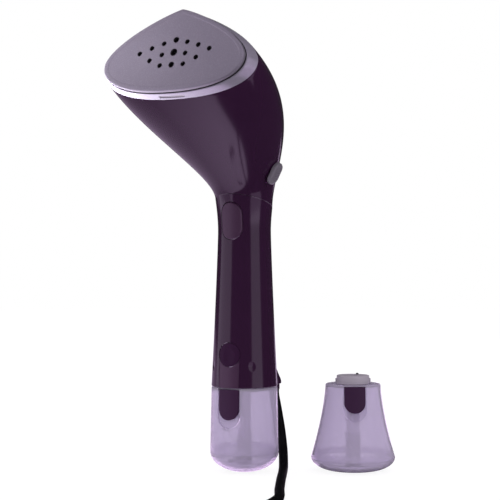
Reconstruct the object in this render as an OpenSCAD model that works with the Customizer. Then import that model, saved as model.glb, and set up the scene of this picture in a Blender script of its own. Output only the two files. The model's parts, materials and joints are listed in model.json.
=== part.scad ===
// Handheld garment steamer with a spare water tank.
// Origin at the middle of the grip. +Z runs up the handle, the steam plate faces -Y, +X is to its right.

/* [Handle] */
// Radius of the grip at its narrowest
waist_r = 20.6; // [19:0.1:23]
// Height of the narrowest place
waist_z = 36; // [28:1:44]
// Radius of the handle where it meets the tank
joint_r = 25.7; // [25.2:0.1:28]
// Height of the joint between handle and tank
joint_z = -84; // [-87:0.5:-83]
// Radius of the neck under the head
neck_r = 22.2; // [21.5:0.1:24]
// Height of the neck seam on the handle's axis
neck_z = 57.75; // [56:0.25:62]
// Slope of the neck seam, higher at the front
seam_tilt = 17; // [10:1:20]
// Wall of the handle and head shells
wall = 2.2; // [1.6:0.1:2.4]
// Gap between parts that are only joined by screws or clips
gap = 0.3; // [0.2:0.05:0.5]

/* [Steam head] */
// Half the width of the steam plate
plate_half_w = 59.5; // [55:0.5:65]
// Steam plate above its centre
plate_up = 35; // [32:0.5:38]
// Steam plate below its centre
plate_down = 30.5; // [29:0.5:34]
// Widest line of the steam plate below its centre
plate_low = 6; // [4:0.5:8]
// Thickness of the steam plate
plate_t = 3; // [2:0.5:4]
// Lean of the steam plate from upright
plate_tilt = 20; // [15:1:25]
// Plate centre in front of the handle's axis
plate_reach = 101; // [95:1:110]
// Height of the plate centre
plate_z = 163.6; // [158:0.2:170]
// Depth from the plate's face to the head shell's rim
rim_depth = 12.5; // [12:0.5:14]
// How much wider than the plate the rim is at each side
flare_side = 5; // [3:0.5:6]
// How much longer than the plate the rim is at its lower end
flare_end = 1; // [0.8:0.1:2]
// How much longer than the plate the rim is at its tip
flare_tip = 3.2; // [0.8:0.2:4]
// Wall of the bezel
bezel_t = 2; // [1.6:0.1:2.4]

/* [Steam holes] */
// Distance between holes
hole_pitch = 9.9; // [9:0.1:10.5]
// Radius of most holes
hole_r = 1.6; // [1.2:0.1:1.9]
// Radius of the middle hole of the upper and lower rows
mid_hole_r = 2; // [1.6:0.1:2.3]
// Radius of the centre hole
centre_hole_r = 2.5; // [2:0.1:2.8]

/* [Boiler] */
// Thickness of the boiler block
boiler_t = 12; // [11:0.5:14]
// Radius of the heating element's bend
element_bend_r = 21; // [20:0.5:23]
// Radius of the heating element's tube
element_r = 3.3; // [2.8:0.1:3.5]
// Thickness of the boiler cover
cover_t = 2; // [1.5:0.1:2.5]
// Height of the posts that hold the heat shield
shield_post_h = 12; // [10:0.5:14]
// Thickness of the heat shield
shield_t = 1; // [0.8:0.1:1.5]

/* [Steam trigger] */
// Height of the trigger's middle
trigger_z = 44; // [43.5:0.1:44.5]
// Width of the trigger
trigger_w = 18; // [16:0.5:18.5]
// Length of the trigger
trigger_len = 28.5; // [27:0.5:29]
// Clearance around the trigger and the buttons
button_gap = 0.5; // [0.4:0.05:0.7]
// Radius of hinge pins on the trigger
trigger_pin_r = 1; // [0.8:0.05:1.1]
// Running clearance of pins and spigots
pin_gap = 0.05; // [0.03:0.01:0.08]

/* [Thumb slider] */
// Length of the slider's button
slider_len = 18; // [15:0.5:20]
// Width of the slider's button
slider_w = 12; // [10:0.5:13]
// Thickness of the slider's button
slider_t = 3.4; // [3:0.1:4.5]
// How far the slider moves
slider_travel = 3; // [2:0.5:4]

/* [Tank release] */
// Height of the release button
release_z = -58.6; // [-59.5:0.1:-58]
// Radius of the release button
release_r = 9.2; // [8:0.1:9.4]
// How far the release button moves
release_travel = 2.5; // [2:0.1:2.6]
// Depth of the strip between the release button and the tank
strip_depth = 0.4; // [0.2:0.1:0.8]

/* [Pump] */
// Radius of the pump's body
pump_r = 7; // [6:0.1:7.5]
// Outer radius of the coil
coil_r = 12.5; // [11:0.1:12.8]
// Bottom of the pump's body
pump_z = -30; // [-32:0.5:-28]
// Length of the pump's body
pump_len = 38; // [34:0.5:40]

/* [Tanks] */
// Height of the tanks below the joint
tank_h = 66.3; // [62:0.1:70]
// Wall of the tanks
tank_wall = 1.8; // [1.4:0.1:2]
// Radius of the tank at its top
tank_top_r = 25.6; // [25:0.1:27.5]
// Largest radius of the tank
tank_max_r = 26.7; // [26:0.1:28]
// Height of the tank's domed end
dome_h = 16; // [12:0.5:20]
// Height of the spare tank up to its shoulder
spare_h = 67.7; // [63:0.1:72]
// Radius of the spare tank at its shoulder
spare_top_r = 21.5; // [21:0.1:24]
// Largest radius of the spare tank
spare_max_r = 32.8; // [30:0.1:36]
// Height of the spare tank's rounded foot
spare_foot_h = 10.5; // [8:0.5:12]
// Radius of the flat foot of the spare tank
spare_foot_r = 13; // [10:0.5:16]
// Radius of the tanks' collar
collar_r = 12.75; // [12.5:0.05:13]
// Height of the tanks' collar
collar_h = 6.5; // [6:0.25:7.5]
// Radius of the water port in the collar
port_r = 3.5; // [3.2:0.1:3.8]
// Place of the spare tank beside the steamer
spare_place = [71, 47]; // [60:1:100]
// Turn of the spare tank
spare_turn = 30; // [0:1:60]
// How far a tank is pulled down to come off
tank_travel = 12; // [10:0.5:14]

/* [Fill doors] */
// Width of the fill door on the tank
door_w = 17.6; // [15:0.1:18]
// Length of the door from its hinge pin, on the tank
door_len = 22; // [20:0.1:25]
// Width of the fill door on the spare tank
spare_door_w = 16.4; // [15:0.1:17]
// Length of the door from its hinge pin, on the spare tank
spare_door_len = 19; // [18:0.1:21]
// Finger recess below the door
recess_len = 6.4; // [4:0.1:7]
// Radius of the fill opening
fill_r = 5.1; // [4.5:0.1:5.4]

/* [Cord] */
// Radius of the mains cord
cord_r = 3.6; // [3:0.1:3.8]
// Distance of the cord's gland from the handle's axis
gland_reach = 30; // [29.5:0.1:31]
// Direction of the gland, from +X
gland_turn = 67; // [60:1:75]
// Radius of the cord coil's middle
coil_mid_r = 40; // [36:1:44]
// Turns of the coil side by side
coil_wide = 4; // [3:1:5]
// Turns of the coil on top of each other
coil_high = 2; // [1:1:2]

/* [Plug] */
// Width of the plug
plug_w = 35; // [30:1:38]
// Height of the plug
plug_h = 20; // [18:1:25]
// Length of the plug's body
plug_len = 31; // [26:1:36]
// Length of the plug's pins
plug_pin_len = 19; // [18:0.5:20]
// Radius of the plug's pins
plug_pin_r = 2.4; // [2:0.1:2.4]
// Distance between the plug's pins
plug_pin_pitch = 19; // [18:0.5:19.5]

/* [Hidden] */
$fn = 64;

aubergine = [0.19, 0.10, 0.19];
lavender = [0.72, 0.67, 0.80, 0.5];
far = 200;
tank_top = joint_z - gap;
floor_z = tank_top - tank_h;

// ---- the head's outline, profiles and sections ----
base_power = 2.3;
tip_power = [1.15, 1.62];
rim_points = 72;
head_rings = 20;

function signed_pow(v, p) = sign(v) * pow(abs(v), p);
// Powers across and along the plate at an angle, t runs from a circle to the plate's own shape
function powers(a, t) = [for (p = sin(a) >= 0 ? tip_power : [base_power, base_power]) 2 / (2 + (p - 2) * t)];
function outline_point(a, side, end, tip) =
    let (p = powers(a, 1), high = sin(a) >= 0 ? plate_up + plate_low + tip : plate_down - plate_low + end)
    [(plate_half_w + side) * signed_pow(cos(a), p[0]), high * signed_pow(sin(a), p[1]) - plate_low];
function outline(side, end, tip) =
    [for (i = [0 : rim_points - 1]) outline_point(360 * i / rim_points, side, end, tip)];

// Direction in the YZ plane that leans by a from the plate's outward normal towards its tip
function lean(a) = [-cos(plate_tilt + a), sin(plate_tilt + a)];
// Point in the YZ plane at height v on the plate and depth d behind its face
function plate_point(v, d) =
    [-plate_reach + v * sin(plate_tilt) + d * cos(plate_tilt), plate_z + v * cos(plate_tilt) - d * sin(plate_tilt)];
function bezier(p, t) =
    pow(1 - t, 3) * p[0] + 3 * pow(1 - t, 2) * t * p[1] + 3 * (1 - t) * t * t * p[2] + pow(t, 3) * p[3];
function smoothstep(t) = t * t * (3 - 2 * t);

// Handle's radius where the seam plane meets its front (side = 1) or its back (side = -1)
function seam_reach(side, r, rounds) =
    rounds == 0 ? r : seam_reach(side, handle_r(neck_z + side * r * tan(seam_tilt)), rounds - 1);
front_reach = seam_reach(1, neck_r, 6);
back_reach = seam_reach(-1, neck_r, 6);
front_start = [-front_reach, neck_z + front_reach * tan(seam_tilt)];
back_start = [back_reach, neck_z - back_reach * tan(seam_tilt)];
front_end = plate_point(-plate_down - flare_end, rim_depth);
back_end = plate_point(plate_up + flare_tip, rim_depth);
front_profile = [front_start, front_start + [0, 8], front_end - 30 * lean(38), front_end];
back_profile = [back_start, back_start + [0, 37], back_end - 130 * lean(3.5), back_end];
rim_low_share = (plate_down - plate_low + flare_end) / (plate_down + plate_up + flare_end + flare_tip);

// Point of the head's skin: t runs from the neck to the rim, a around the section
function head_point(t, a, inset) =
    let (f = bezier(front_profile, t), b = bezier(back_profile, t), w = (b - f) / norm(b - f),
         share = 0.5 + (rim_low_share - 0.5) * t * t, middle = f + share * (b - f),
         power = powers(a, t),
         half_w = neck_r + (plate_half_w + flare_side - neck_r) * smoothstep(t) - inset,
         run = (sin(a) >= 0 ? 1 - share : share) * norm(b - f) - inset,
         m = middle + run * signed_pow(sin(a), power[1]) * w)
    [half_w * signed_pow(cos(a), power[0]), m[0], m[1]];
function head_ring(t, inset) = [for (i = [0 : rim_points - 1]) head_point(t, 360 * i / rim_points, inset)];

// ---- general shapes ----
// Skin over rings of points that close on themselves, last ring to first
module ring_skin(rings) {
    n = len(rings);
    m = len(rings[0]);
    polyhedron(
        points = [for (r = rings) each r],
        faces = [for (k = [0 : n - 1], j = [0 : m - 1])
            let (k2 = (k + 1) % n, j2 = (j + 1) % m) [k * m + j, k2 * m + j, k2 * m + j2, k * m + j2]]);
}

// Solid over rings of points, closed by its two ends
module rod_skin(rings) {
    n = len(rings);
    m = len(rings[0]);
    polyhedron(
        points = [for (r = rings) each r],
        faces = concat(
            [[for (j = [0 : m - 1]) j]],
            [for (k = [0 : n - 2], j = [0 : m - 1])
                let (j2 = (j + 1) % m) [k * m + j, (k + 1) * m + j, (k + 1) * m + j2, k * m + j2]],
            [[for (j = [m - 1 : -1 : 0]) (n - 1) * m + j]]));
}

function unit(v) = v / norm(v);
function between(p, i, t) =
    let (a = p[max(i - 1, 0)], b = p[i], c = p[i + 1], d = p[min(i + 2, len(p) - 1)])
    0.5 * (2 * b + (c - a) * t + (2 * a - 5 * b + 4 * c - d) * t * t + (3 * b - a - 3 * c + d) * t * t * t);
function smooth_path(p, steps) =
    concat([for (i = [0 : len(p) - 2], s = [0 : steps - 1]) between(p, i, s / steps)], [p[len(p) - 1]]);
// Rings of a tube along a path; side is never parallel to the path
function tube_rings(path, r, side, sides) =
    [for (i = [0 : len(path) - 1])
        let (t = unit(path[min(i + 1, len(path) - 1)] - path[max(i - 1, 0)]),
             u = unit(side - (side * t) * t), v = cross(t, u))
        [for (j = [0 : sides - 1]) path[i] + r * (cos(360 * j / sides) * u + sin(360 * j / sides) * v)]];

// Coil spring along +Z from 0 to h
module coil_spring(r, wire_r, turns, h) {
    steps = 12;
    rise = h - 2 * wire_r;
    rod_skin([for (i = [0 : steps * turns])
        let (a = 360 * i / steps, z = wire_r + rise * i / (steps * turns))
        [for (j = [0 : 5])
            let (d = r + wire_r * cos(60 * j)) [d * cos(a), d * sin(a), z - wire_r * sin(60 * j)]]]);
}

// Upright slot shape: width along X, length along Y, centred, t thick from z = 0
module slot_prism(w, l, t) {
    for (s = [-1, 1])
        translate([0, s * (l - w) / 2, 0]) cylinder(d = w, h = t);
    translate([-w / 2, -(l - w) / 2, 0]) cube([w, l - w, t]);
}

// The same shape facing -Y, with its front face at y = -front, length along Z
module front_slot(w, l, front, t) {
    translate([0, -front, 0]) rotate([-90, 0, 0]) slot_prism(w, l, t);
}

// Cylinder along X, centred
module cross_pin(r, l) {
    rotate([0, 90, 0]) cylinder(r = r, h = l, center = true);
}

module plate_frame() {
    translate([0, -plate_reach, plate_z]) rotate([90 - plate_tilt, 0, 0]) children();
}

// Prism of the plate's outline between two depths behind its face
module outline_prism(side, end, near, deep) {
    translate([0, 0, -deep]) linear_extrude(deep - near) polygon(outline(side, end, end));
}

// ---- steam head ----
hole_rows = [
    for (u = [-3 : 3]) [u, [1, 0.76, 0.46, 0.09][abs(u)], u == 0 ? mid_hole_r : hole_r],
    for (u = [-2 : 2]) [u, -[0, 0.14, 0.54][abs(u)], u == 0 ? centre_hole_r : hole_r],
    for (u = [-1 : 1]) [u, -1, u == 0 ? mid_hole_r : hole_r]
];
seal_t = 1.2;
seal_w = 2.4;
seal_inset = 0.8;
lip_front = plate_t + seal_t;
lip_t = 2;
lip_inset = seal_inset + seal_w;
boiler_flange_t = 2;
boiler_front = lip_front + lip_t;
boiler_back = boiler_front + boiler_t;
cover_back = boiler_back + cover_t;
element_depth = boiler_back - element_r - 1.2;
element_gap_turn = 80;
element_end = element_bend_r * [cos(-90 + element_gap_turn / 2), sin(-90 + element_gap_turn / 2)];
chamber_r = 15;
nozzle_r = 1.8;
nozzle_len = 10;
post_places = [[26, 9], [-26, 9], [22, -16], [-22, -16]];
screw_places = [[45.5, 0], [-45.5, 0], [0, 27.2], [0, -22.5]];

module steam_plate() {
    color([0.55, 0.51, 0.58]) plate_frame() difference() {
        outline_prism(0, 0, 0, plate_t);
        for (h = hole_rows)
            translate([h[0] * hole_pitch, h[1] * hole_pitch, -plate_t - 1]) cylinder(r = h[2], h = plate_t + 2);
    }
}

module plate_seal() {
    color([0.15, 0.13, 0.18]) plate_frame() difference() {
        outline_prism(-seal_inset, -seal_inset, plate_t, lip_front);
        outline_prism(-lip_inset, -lip_inset, plate_t - 1, lip_front + 1);
    }
}

// Ring of points of the bezel at a depth, share runs from the lip to the rim
function bezel_ring(depth, share, inset) =
    let (grow = [for (f = [flare_side, flare_end, flare_tip]) 0.6 + (f - 0.6) * share - inset])
    [for (p = outline(grow[0], grow[1], grow[2])) let (m = plate_point(p[1], depth)) [p[0], m[0], m[1]]];

module head_bezel() {
    color([0.80, 0.76, 0.86]) {
        ring_skin([
            bezel_ring(lip_front, 0, 0), bezel_ring(lip_front, 0, lip_inset + 0.6),
            bezel_ring(lip_front + lip_t, 0.2, lip_inset + 1.5), bezel_ring(lip_front + lip_t, 0.2, bezel_t),
            bezel_ring(rim_depth, 1, bezel_t), bezel_ring(rim_depth, 1, 0)
        ]);
    }
}

module boiler() {
    color([0.72, 0.73, 0.75]) plate_frame() difference() {
        union() {
            outline_prism(-lip_inset - 1.8, -lip_inset - 1.8, plate_t, boiler_back);
            outline_prism(-2.4, -2.4, boiler_front, boiler_front + boiler_flange_t);
        }
        // steam space behind the plate
        outline_prism(-lip_inset - 4.5, -lip_inset - 4.5, plate_t - 1, lip_front + 0.8);
        // evaporation chamber and its outlet
        translate([0, 0, -boiler_back - 1]) cylinder(r = chamber_r, h = 9);
        translate([0, 10, -boiler_back]) cylinder(r = 2.5, h = boiler_back);
        // channel for the heating element
        translate([0, 0, -element_depth]) rotate([0, 0, -90 + element_gap_turn / 2])
            rotate_extrude(angle = 360 - element_gap_turn) element_channel();
        for (s = [-1, 1])
            translate([s * element_end[0], element_end[1], -boiler_back - 1])
                cylinder(r = element_r + 0.1, h = boiler_back + 1 - element_depth + element_r + 0.1);
        for (p = screw_places)
            translate([p[0], p[1], -boiler_back - 1]) cylinder(r = 1.3, h = 9);
    }
}

module element_channel() {
    translate([element_bend_r, 0]) circle(r = element_r + 0.1);
    translate([element_bend_r - element_r - 0.1, element_depth - boiler_back - 1])
        square([2 * element_r + 0.2, boiler_back + 1 - element_depth]);
}

module boiler_cover() {
    color([0.80, 0.80, 0.82]) plate_frame() difference() {
        union() {
            outline_prism(-lip_inset - 1.8, -lip_inset - 1.8, boiler_back, cover_back);
            translate([0, 0, -cover_back - nozzle_len]) cylinder(r = nozzle_r, h = nozzle_len + 1);
        }
        translate([0, 0, -cover_back - nozzle_len - 1]) cylinder(r = 1, h = far);
        for (s = [-1, 1])
            translate([s * element_end[0], element_end[1], -cover_back - 1]) cylinder(r = 3, h = cover_t + 2);
        for (p = screw_places)
            translate([p[0], p[1], -cover_back - 1]) cylinder(r = 1.6, h = cover_t + 2);
    }
}

module heating_element() {
    color([0.35, 0.35, 0.37]) plate_frame() {
        translate([0, 0, -element_depth]) rotate([0, 0, -90 + element_gap_turn / 2])
            rotate_extrude(angle = 360 - element_gap_turn) translate([element_bend_r, 0]) circle(r = element_r);
        for (s = [-1, 1]) translate([s * element_end[0], element_end[1], 0]) {
            translate([0, 0, -cover_back - 5]) cylinder(r = 2.2, h = cover_back + 5 - element_depth);
        }
    }
}

module thermostat() {
    color([0.85, 0.84, 0.80]) plate_frame() translate([33, -3, -cover_back - 7]) {
        cylinder(r = 6, h = 5);
        translate([0, 0, 5]) cylinder(r = 7.5, h = 2);
        for (s = [-1, 1]) translate([s * 3 - 1.5, -0.4, -4]) cube([3, 0.8, 4.5]);
    }
}

module thermal_fuse() {
    color([0.85, 0.70, 0.30]) plate_frame() translate([-33, -3, -cover_back]) {
        translate([0, 0, -3.2]) rotate([90, 0, 0]) cylinder(r = 2, h = 11, center = true);
        translate([-4, -2, -1.4]) cube([8, 4, 1.4]);
    }
}

module boiler_screws() {
    color([0.75, 0.75, 0.78]) plate_frame() for (p = screw_places) translate([p[0], p[1], -cover_back]) {
        translate([0, 0, -1.8]) cylinder(r = 2.8, h = 1.8);
        translate([0, 0, -0.5]) cylinder(r = 1.25, h = cover_t + 8);
    }
}

module heat_shield() {
    shield_front = cover_back + shield_post_h;
    color([0.60, 0.58, 0.55]) plate_frame() difference() {
        union() {
            outline_prism(-20, -13, shield_front, shield_front + shield_t);
            for (p = post_places) translate([p[0], p[1], -shield_front - shield_t / 2]) cylinder(r = 2.5, h = shield_post_h + shield_t / 2);
        }
        translate([0, 0, -shield_front - shield_t - 1]) cylinder(r = 6, h = shield_t + 2);
        for (s = [-1, 1]) translate([s * element_end[0], element_end[1], -shield_front - shield_t - 1])
            cylinder(r = 3.2, h = shield_t + 2);
    }
}

// Frame of the thumb slider: +Z out of the head's side, +Y up along its slope
slider_share = 0.285;
slider_turn = -4.5;
slider_rise = head_point(slider_share + 0.02, slider_turn, 0) - head_point(slider_share - 0.02, slider_turn, 0);
slider_lean = atan2(slider_rise[0], slider_rise[2]) - 2.092;
slider_place = head_point(slider_share, slider_turn, 0) + [-0.06, -0.30, -0.04];
slider_lift = 1;
slider_stem_r = 2.2;
module slider_frame() {
    translate(slider_place) rotate([0, 90 + slider_lean, 0]) rotate([0, 0, 90]) children();
}

module head_shell() {
    color(aubergine) difference() {
        union() {
            ring_skin(concat(
                [for (i = [0 : head_rings]) head_ring(i / head_rings, 0)],
                [for (i = [head_rings : -1 : 0]) head_ring(i / head_rings, wall)]));
            // posts that hold the slider's switch
            slider_frame() for (s = [-1, 1])
                translate([s * 7 - 1, -4, -9.5]) cube([2, 8, 8.3]);
        }
        slider_frame() translate([0, slider_travel / 2, -8])
            slot_prism(2 * slider_stem_r + 1, 2 * slider_stem_r + slider_travel + 1, 16);
    }
}

module thumb_slider() {
    color([0.45, 0.43, 0.46]) slider_frame() {
        translate([0, 0, slider_lift]) slot_prism(slider_w, slider_len, slider_t);
        translate([0, 0, -5]) cylinder(r = slider_stem_r, h = 5.5 + slider_lift);
        translate([0, 0, -5.4]) cylinder(r = 3.4, h = 1.2);
    }
}

module slider_switch() {
    color([0.12, 0.12, 0.13]) slider_frame() translate([-5.8, -6, -12]) cube([11.6, 14, 6.2]);
}

// ---- handle ----
function handle_r(z) = z < waist_z
    ? waist_r + (joint_r - waist_r) * pow((waist_z - z) / (waist_z - joint_z), 1.2)
    : waist_r + (neck_r - waist_r) * pow((z - waist_z) / (neck_z - waist_z), 1.8);
handle_top = front_start[1] + 1.5;
handle_steps = 18;
handle_levels = [for (i = [0 : handle_steps]) joint_z + (handle_top - joint_z) * i / handle_steps];

// Half of a body of revolution, +Y side
module half_turn() {
    rotate_extrude(angle = 180) children();
}

module handle_profile(inset) {
    polygon(concat(
        [[0, joint_z]], [for (z = handle_levels) [handle_r(z) - inset, z]], [[0, handle_top]]));
}

ceiling_z = tank_top + collar_h + 1.7;
socket_top = ceiling_z + 2.4;
module above_seam(lower) {
    translate([0, 0, neck_z - lower]) rotate([-seam_tilt, 0, 0]) translate([-far / 2, -far / 2, 0]) cube([far, far, far]);
}

rib_z = [pump_z - 4, pump_z + pump_len + 4];
rib_t = 2;
rib_bore_r = 8;
harness_place = [15.2, 3];
harness_r = 1.8;
screw_bosses = [[-12.5, 26], [-14, -56], [14, -56]];
boss_r = 3;

// Outer wall and ribs of one half of the handle, +Y side
module handle_half() {
    half_turn() difference() {
        handle_profile(0);
        difference() {
            translate([0, -1]) handle_profile(wall);
            translate([rib_bore_r, rib_z[0] - rib_t]) square([far, rib_t]);
            translate([rib_bore_r, rib_z[1]]) square([far, rib_t]);
        }
        translate([0, handle_top - 1.5]) square([neck_r - wall, 3]);
    }
}

// Space inside the handle's wall, for cutting bosses and ribs to it
module handle_space() {
    rotate_extrude() handle_profile(wall / 2);
}

module harness_notch() {
    translate([harness_place[0], harness_place[1], rib_z[0] - far / 4]) cylinder(r = harness_r + 0.5, h = far / 2);
}

trigger_pin_place = [-15.5, trigger_z + 13];

// Shallow strip between the release button and the tank
module strip_cut() {
    difference() {
        translate([-door_w / 2, -far / 4, joint_z - 1]) cube([door_w, far / 4, release_z - joint_z + 1]);
        rotate_extrude() {
            handle_profile(strip_depth);
            translate([0, joint_z - 2]) square([handle_r(joint_z) - strip_depth, 2.5]);
        }
    }
}

dimple_z = release_z - 8;
module handle_front() {
    color(aubergine) difference() {
        union() {
            rotate([0, 0, 180]) handle_half();
            intersection() {
                handle_space();
                for (b = screw_bosses)
                    translate([b[0], -far / 8, b[1]]) rotate([-90, 0, 0]) cylinder(r = boss_r, h = far / 8);
            }
        }
        above_seam(gap);
        for (b = screw_bosses)
            translate([b[0], -9, b[1]]) rotate([-90, 0, 0]) cylinder(r = 1.5, h = 20);
        harness_notch();
        translate([0, 0, trigger_z])
            front_slot(trigger_w + 2 * button_gap, trigger_len + 2 * button_gap, 30, 16);
        translate([0, -30, release_z]) rotate([-90, 0, 0]) cylinder(r = release_r + gap, h = 16);
        strip_cut();
        // dimples beside the release button
        for (s = [-1, 1]) rotate([0, 0, s * 44]) translate([0, -handle_r(dimple_z) - 17.6, dimple_z]) sphere(r = 18);
    }
}

gland_place = gland_reach * [cos(gland_turn), sin(gland_turn)];
gland_r = cord_r + 1.6;
gland_h = 13;
gland_seat = 3;

module handle_rear() {
    color(aubergine) difference() {
        union() {
            handle_half();
            intersection() {
                handle_space();
                union() {
                    for (b = screw_bosses)
                        translate([b[0], 0, b[1]]) rotate([-90, 0, 0]) cylinder(r = boss_r, h = far / 8);
                    for (s = [-1, 1]) translate([s * 6 - 0.75, 17.3, release_z - 3.4]) cube([1.5, 8, 12]);
                }
            }
            // gland for the cord
            difference() {
                translate([gland_place[0], gland_place[1], joint_z]) rotate_extrude() polygon([
                    [0, 0], [gland_r, 0], [gland_r - 0.2, gland_seat], [gland_r - 1.5, 6], [gland_r - 3, 9.5],
                    [gland_r - 4.4, gland_h], [0, gland_h]]);
                translate([0, 0, joint_z - 1]) cylinder(r = joint_r - wall - 0.5, h = 2 * gland_h);
            }
        }
        above_seam(gap);
        for (b = screw_bosses) {
            translate([b[0], -1, b[1]]) rotate([-90, 0, 0]) cylinder(r = 1.7, h = 30);
            translate([b[0], 10, b[1]]) rotate([-90, 0, 0]) cylinder(r = boss_r - 0.1, h = 30);
        }
        harness_notch();
        translate([gland_place[0], gland_place[1], joint_z - 2]) cylinder(r = cord_r + 0.3, h = gland_seat + 2);
        // way of the wires from the gland into the handle
        translate([gland_place[0], gland_place[1], joint_z + gland_seat - 0.5]) rotate([0, 0, gland_turn])
            rotate([0, -50, 0]) cylinder(r = 2, h = 14);
    }
}

module handle_screws() {
    color([0.75, 0.75, 0.78]) for (b = screw_bosses) translate([b[0], 0, b[1]]) rotate([-90, 0, 0]) {
        translate([0, 0, -8]) cylinder(r = 1.45, h = 19);
        translate([0, 0, 10.2]) cylinder(r = 2.7, h = 2);
    }
}

// ---- steam trigger ----
trigger_back = 15;
trigger_proud = 0.8;
bracket_front = 5.2;
bracket_t = 1.5;
trigger_lug = 13.8;

module steam_trigger() {
    color([0.27, 0.16, 0.26]) difference() {
        union() {
            intersection() {
                translate([0, 0, trigger_z]) front_slot(trigger_w, trigger_len, 30, 30 - trigger_back);
                rotate_extrude() handle_profile(-trigger_proud);
            }
            translate([0, trigger_pin_place[0], trigger_pin_place[1]]) cross_pin(trigger_pin_r + 1.2, trigger_lug);
        }
        translate([0, trigger_pin_place[0], trigger_pin_place[1]]) cross_pin(trigger_pin_r + pin_gap, trigger_lug + 2);
    }
}

module trigger_pin() {
    color([0.80, 0.80, 0.82]) translate([0, trigger_pin_place[0], trigger_pin_place[1]]) cross_pin(trigger_pin_r, 17.4);
}

module trigger_bracket() {
    color([0.20, 0.20, 0.22]) difference() {
        union() {
            translate([-17.3, -bracket_front, trigger_z - 14]) cube([34.6, bracket_t, 28]);
            for (s = [-1, 1]) translate([s * 8 - 0.8, 0, 0]) {
                translate([0, -14, trigger_pin_place[1] - 1.9]) cube([1.6, 14 - bracket_front + 0.5, 3.8]);
                translate([0.8, trigger_pin_place[0], trigger_pin_place[1]]) cross_pin(1.9, 1.6);
            }
        }
        translate([0, trigger_pin_place[0], trigger_pin_place[1]]) cross_pin(trigger_pin_r + 0.02, 30);
    }
}

module trigger_spring() {
    color([0.75, 0.75, 0.78]) translate([0, -trigger_back, trigger_z + 4]) rotate([-90, 0, 0])
        coil_spring(2.8, 0.4, 4, trigger_back - bracket_front);
}

module trigger_switch() {
    color([0.12, 0.12, 0.13]) {
        translate([-3.2, -11, trigger_z - 13]) cube([6.4, 11 - bracket_front, 12.8]);
        translate([0, -12.3, trigger_z - 8]) rotate([-90, 0, 0]) cylinder(r = 1, h = 2);
    }
}

// ---- pump and water path ----
module pump_body() {
    color([0.88, 0.87, 0.84]) difference() {
        union() {
            translate([0, 0, pump_z]) cylinder(r = pump_r, h = pump_len);
            translate([0, 0, pump_z]) cylinder(r = 9, h = 2);
            translate([0, 0, pump_z + pump_len - 2]) cylinder(r = 9, h = 2);
            translate([0, 0, pump_z - 10]) cylinder(r = nozzle_r, h = pump_len + 20);
        }
        translate([0, 0, pump_z - 11]) cylinder(r = 1, h = pump_len + 22);
    }
}

module pump_coil() {
    color([0.72, 0.35, 0.12]) translate([0, 0, pump_z + 4]) difference() {
        cylinder(r = coil_r, h = pump_len - 8);
        translate([0, 0, -1]) cylinder(r = pump_r + 0.1, h = pump_len);
    }
}

module pump_yoke() {
    color([0.62, 0.63, 0.65]) difference() {
        union() {
            for (z = [pump_z + 2.1, pump_z + pump_len - 3.9])
                translate([-14.3, -9, z]) cube([26.8, 18, 1.8]);
            translate([-14.3, -9, pump_z + 2.1]) cube([1.6, 18, pump_len - 4.2]);
        }
        translate([0, 0, pump_z]) cylinder(r = pump_r + 0.1, h = pump_len);
    }
}

module pump_mounts() {
    color([0.10, 0.10, 0.11]) {
        translate([0, 0, rib_z[0]]) mount_ring(pump_z - rib_z[0]);
        translate([0, 0, pump_z + pump_len]) mount_ring(rib_z[1] - pump_z - pump_len);
    }
}

module mount_ring(h) {
    difference() {
        cylinder(r = 11.5, h = h);
        translate([0, 0, -1]) cylinder(r = 3, h = h + 2);
    }
}

hose_r = 3.3;
hose_bore_r = 2.1;
module suction_hose() {
    low = socket_top + 4;
    color([0.85, 0.85, 0.82]) translate([0, 0, low]) difference() {
        cylinder(r = hose_r, h = rib_z[0] - rib_t - low);
        translate([0, 0, -1]) cylinder(r = hose_bore_r, h = far / 4);
    }
}

// Point on the plate's axis at depth d behind its face
function axis_point(d) = let (m = plate_point(0, d)) [0, m[0], m[1]];
hose_start = rib_z[1] + rib_t + 0.5;
hose_route = [
    [0, 0, hose_start], [0, 0, 32], [0, 1, 50], [0, 2, 68], [0, 0, 90], [0, -10, 112], [0, -29, 132],
    axis_point(cover_back + 24), axis_point(cover_back + 14), axis_point(cover_back + 4)
];

module delivery_hose() {
    path = smooth_path(hose_route, 3);
    outer = tube_rings(path, hose_r, [1, 0, 0], 12);
    inner = tube_rings(path, hose_bore_r, [1, 0, 0], 12);
    color([0.85, 0.85, 0.82]) ring_skin(concat(outer, [for (i = [len(inner) - 1 : -1 : 0]) inner[i]]));
}

module control_board() {
    color([0.10, 0.35, 0.18]) {
        translate([-10, 14, rib_z[0]]) cube([20, 1.6, rib_z[1] - rib_z[0]]);
        translate([-8, 15.6, rib_z[0] + 8]) cube([6, 1.4, 8]);
        translate([2, 15.6, rib_z[0] + 18]) cube([5, 1.2, 5]);
    }
}

module terminal_block() {
    color([0.92, 0.91, 0.86]) translate([-9, 9, release_z - 3.4]) cube([18, 8, 12]);
}

function harness_end() = let (m = plate_point(element_end[1], cover_back + 6)) [element_end[0], m[0], m[1]];
harness_route = [
    [5, 12, release_z + 9.3], [5, 12, release_z + 11.5], [9, 8.5, -43.5], [14.4, 3.6, -38.5], [15.2, 3, -33],
    [15.2, 3, 20], [15.2, 3, 44], [13, 2, 62], [12, -1, 80], [12.5, -11, 97], [13.5, -32, 114.5],
    [14.5, -58, 129], [14, -74, 136.5], harness_end()
];

module wiring_harness() {
    color([0.75, 0.12, 0.10]) rod_skin(tube_rings(smooth_path(harness_route, 2), harness_r, [1, -0.4, 0], 8));
}

// ---- tank socket and release ----
latch_y = -15.5;
latch_z = joint_z + 18;
latch_t = 2;
latch_half_w = 4;
latch_pin_r = 1;
ear_t = 1.6;
spring_plate_y = -10.8;

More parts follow.
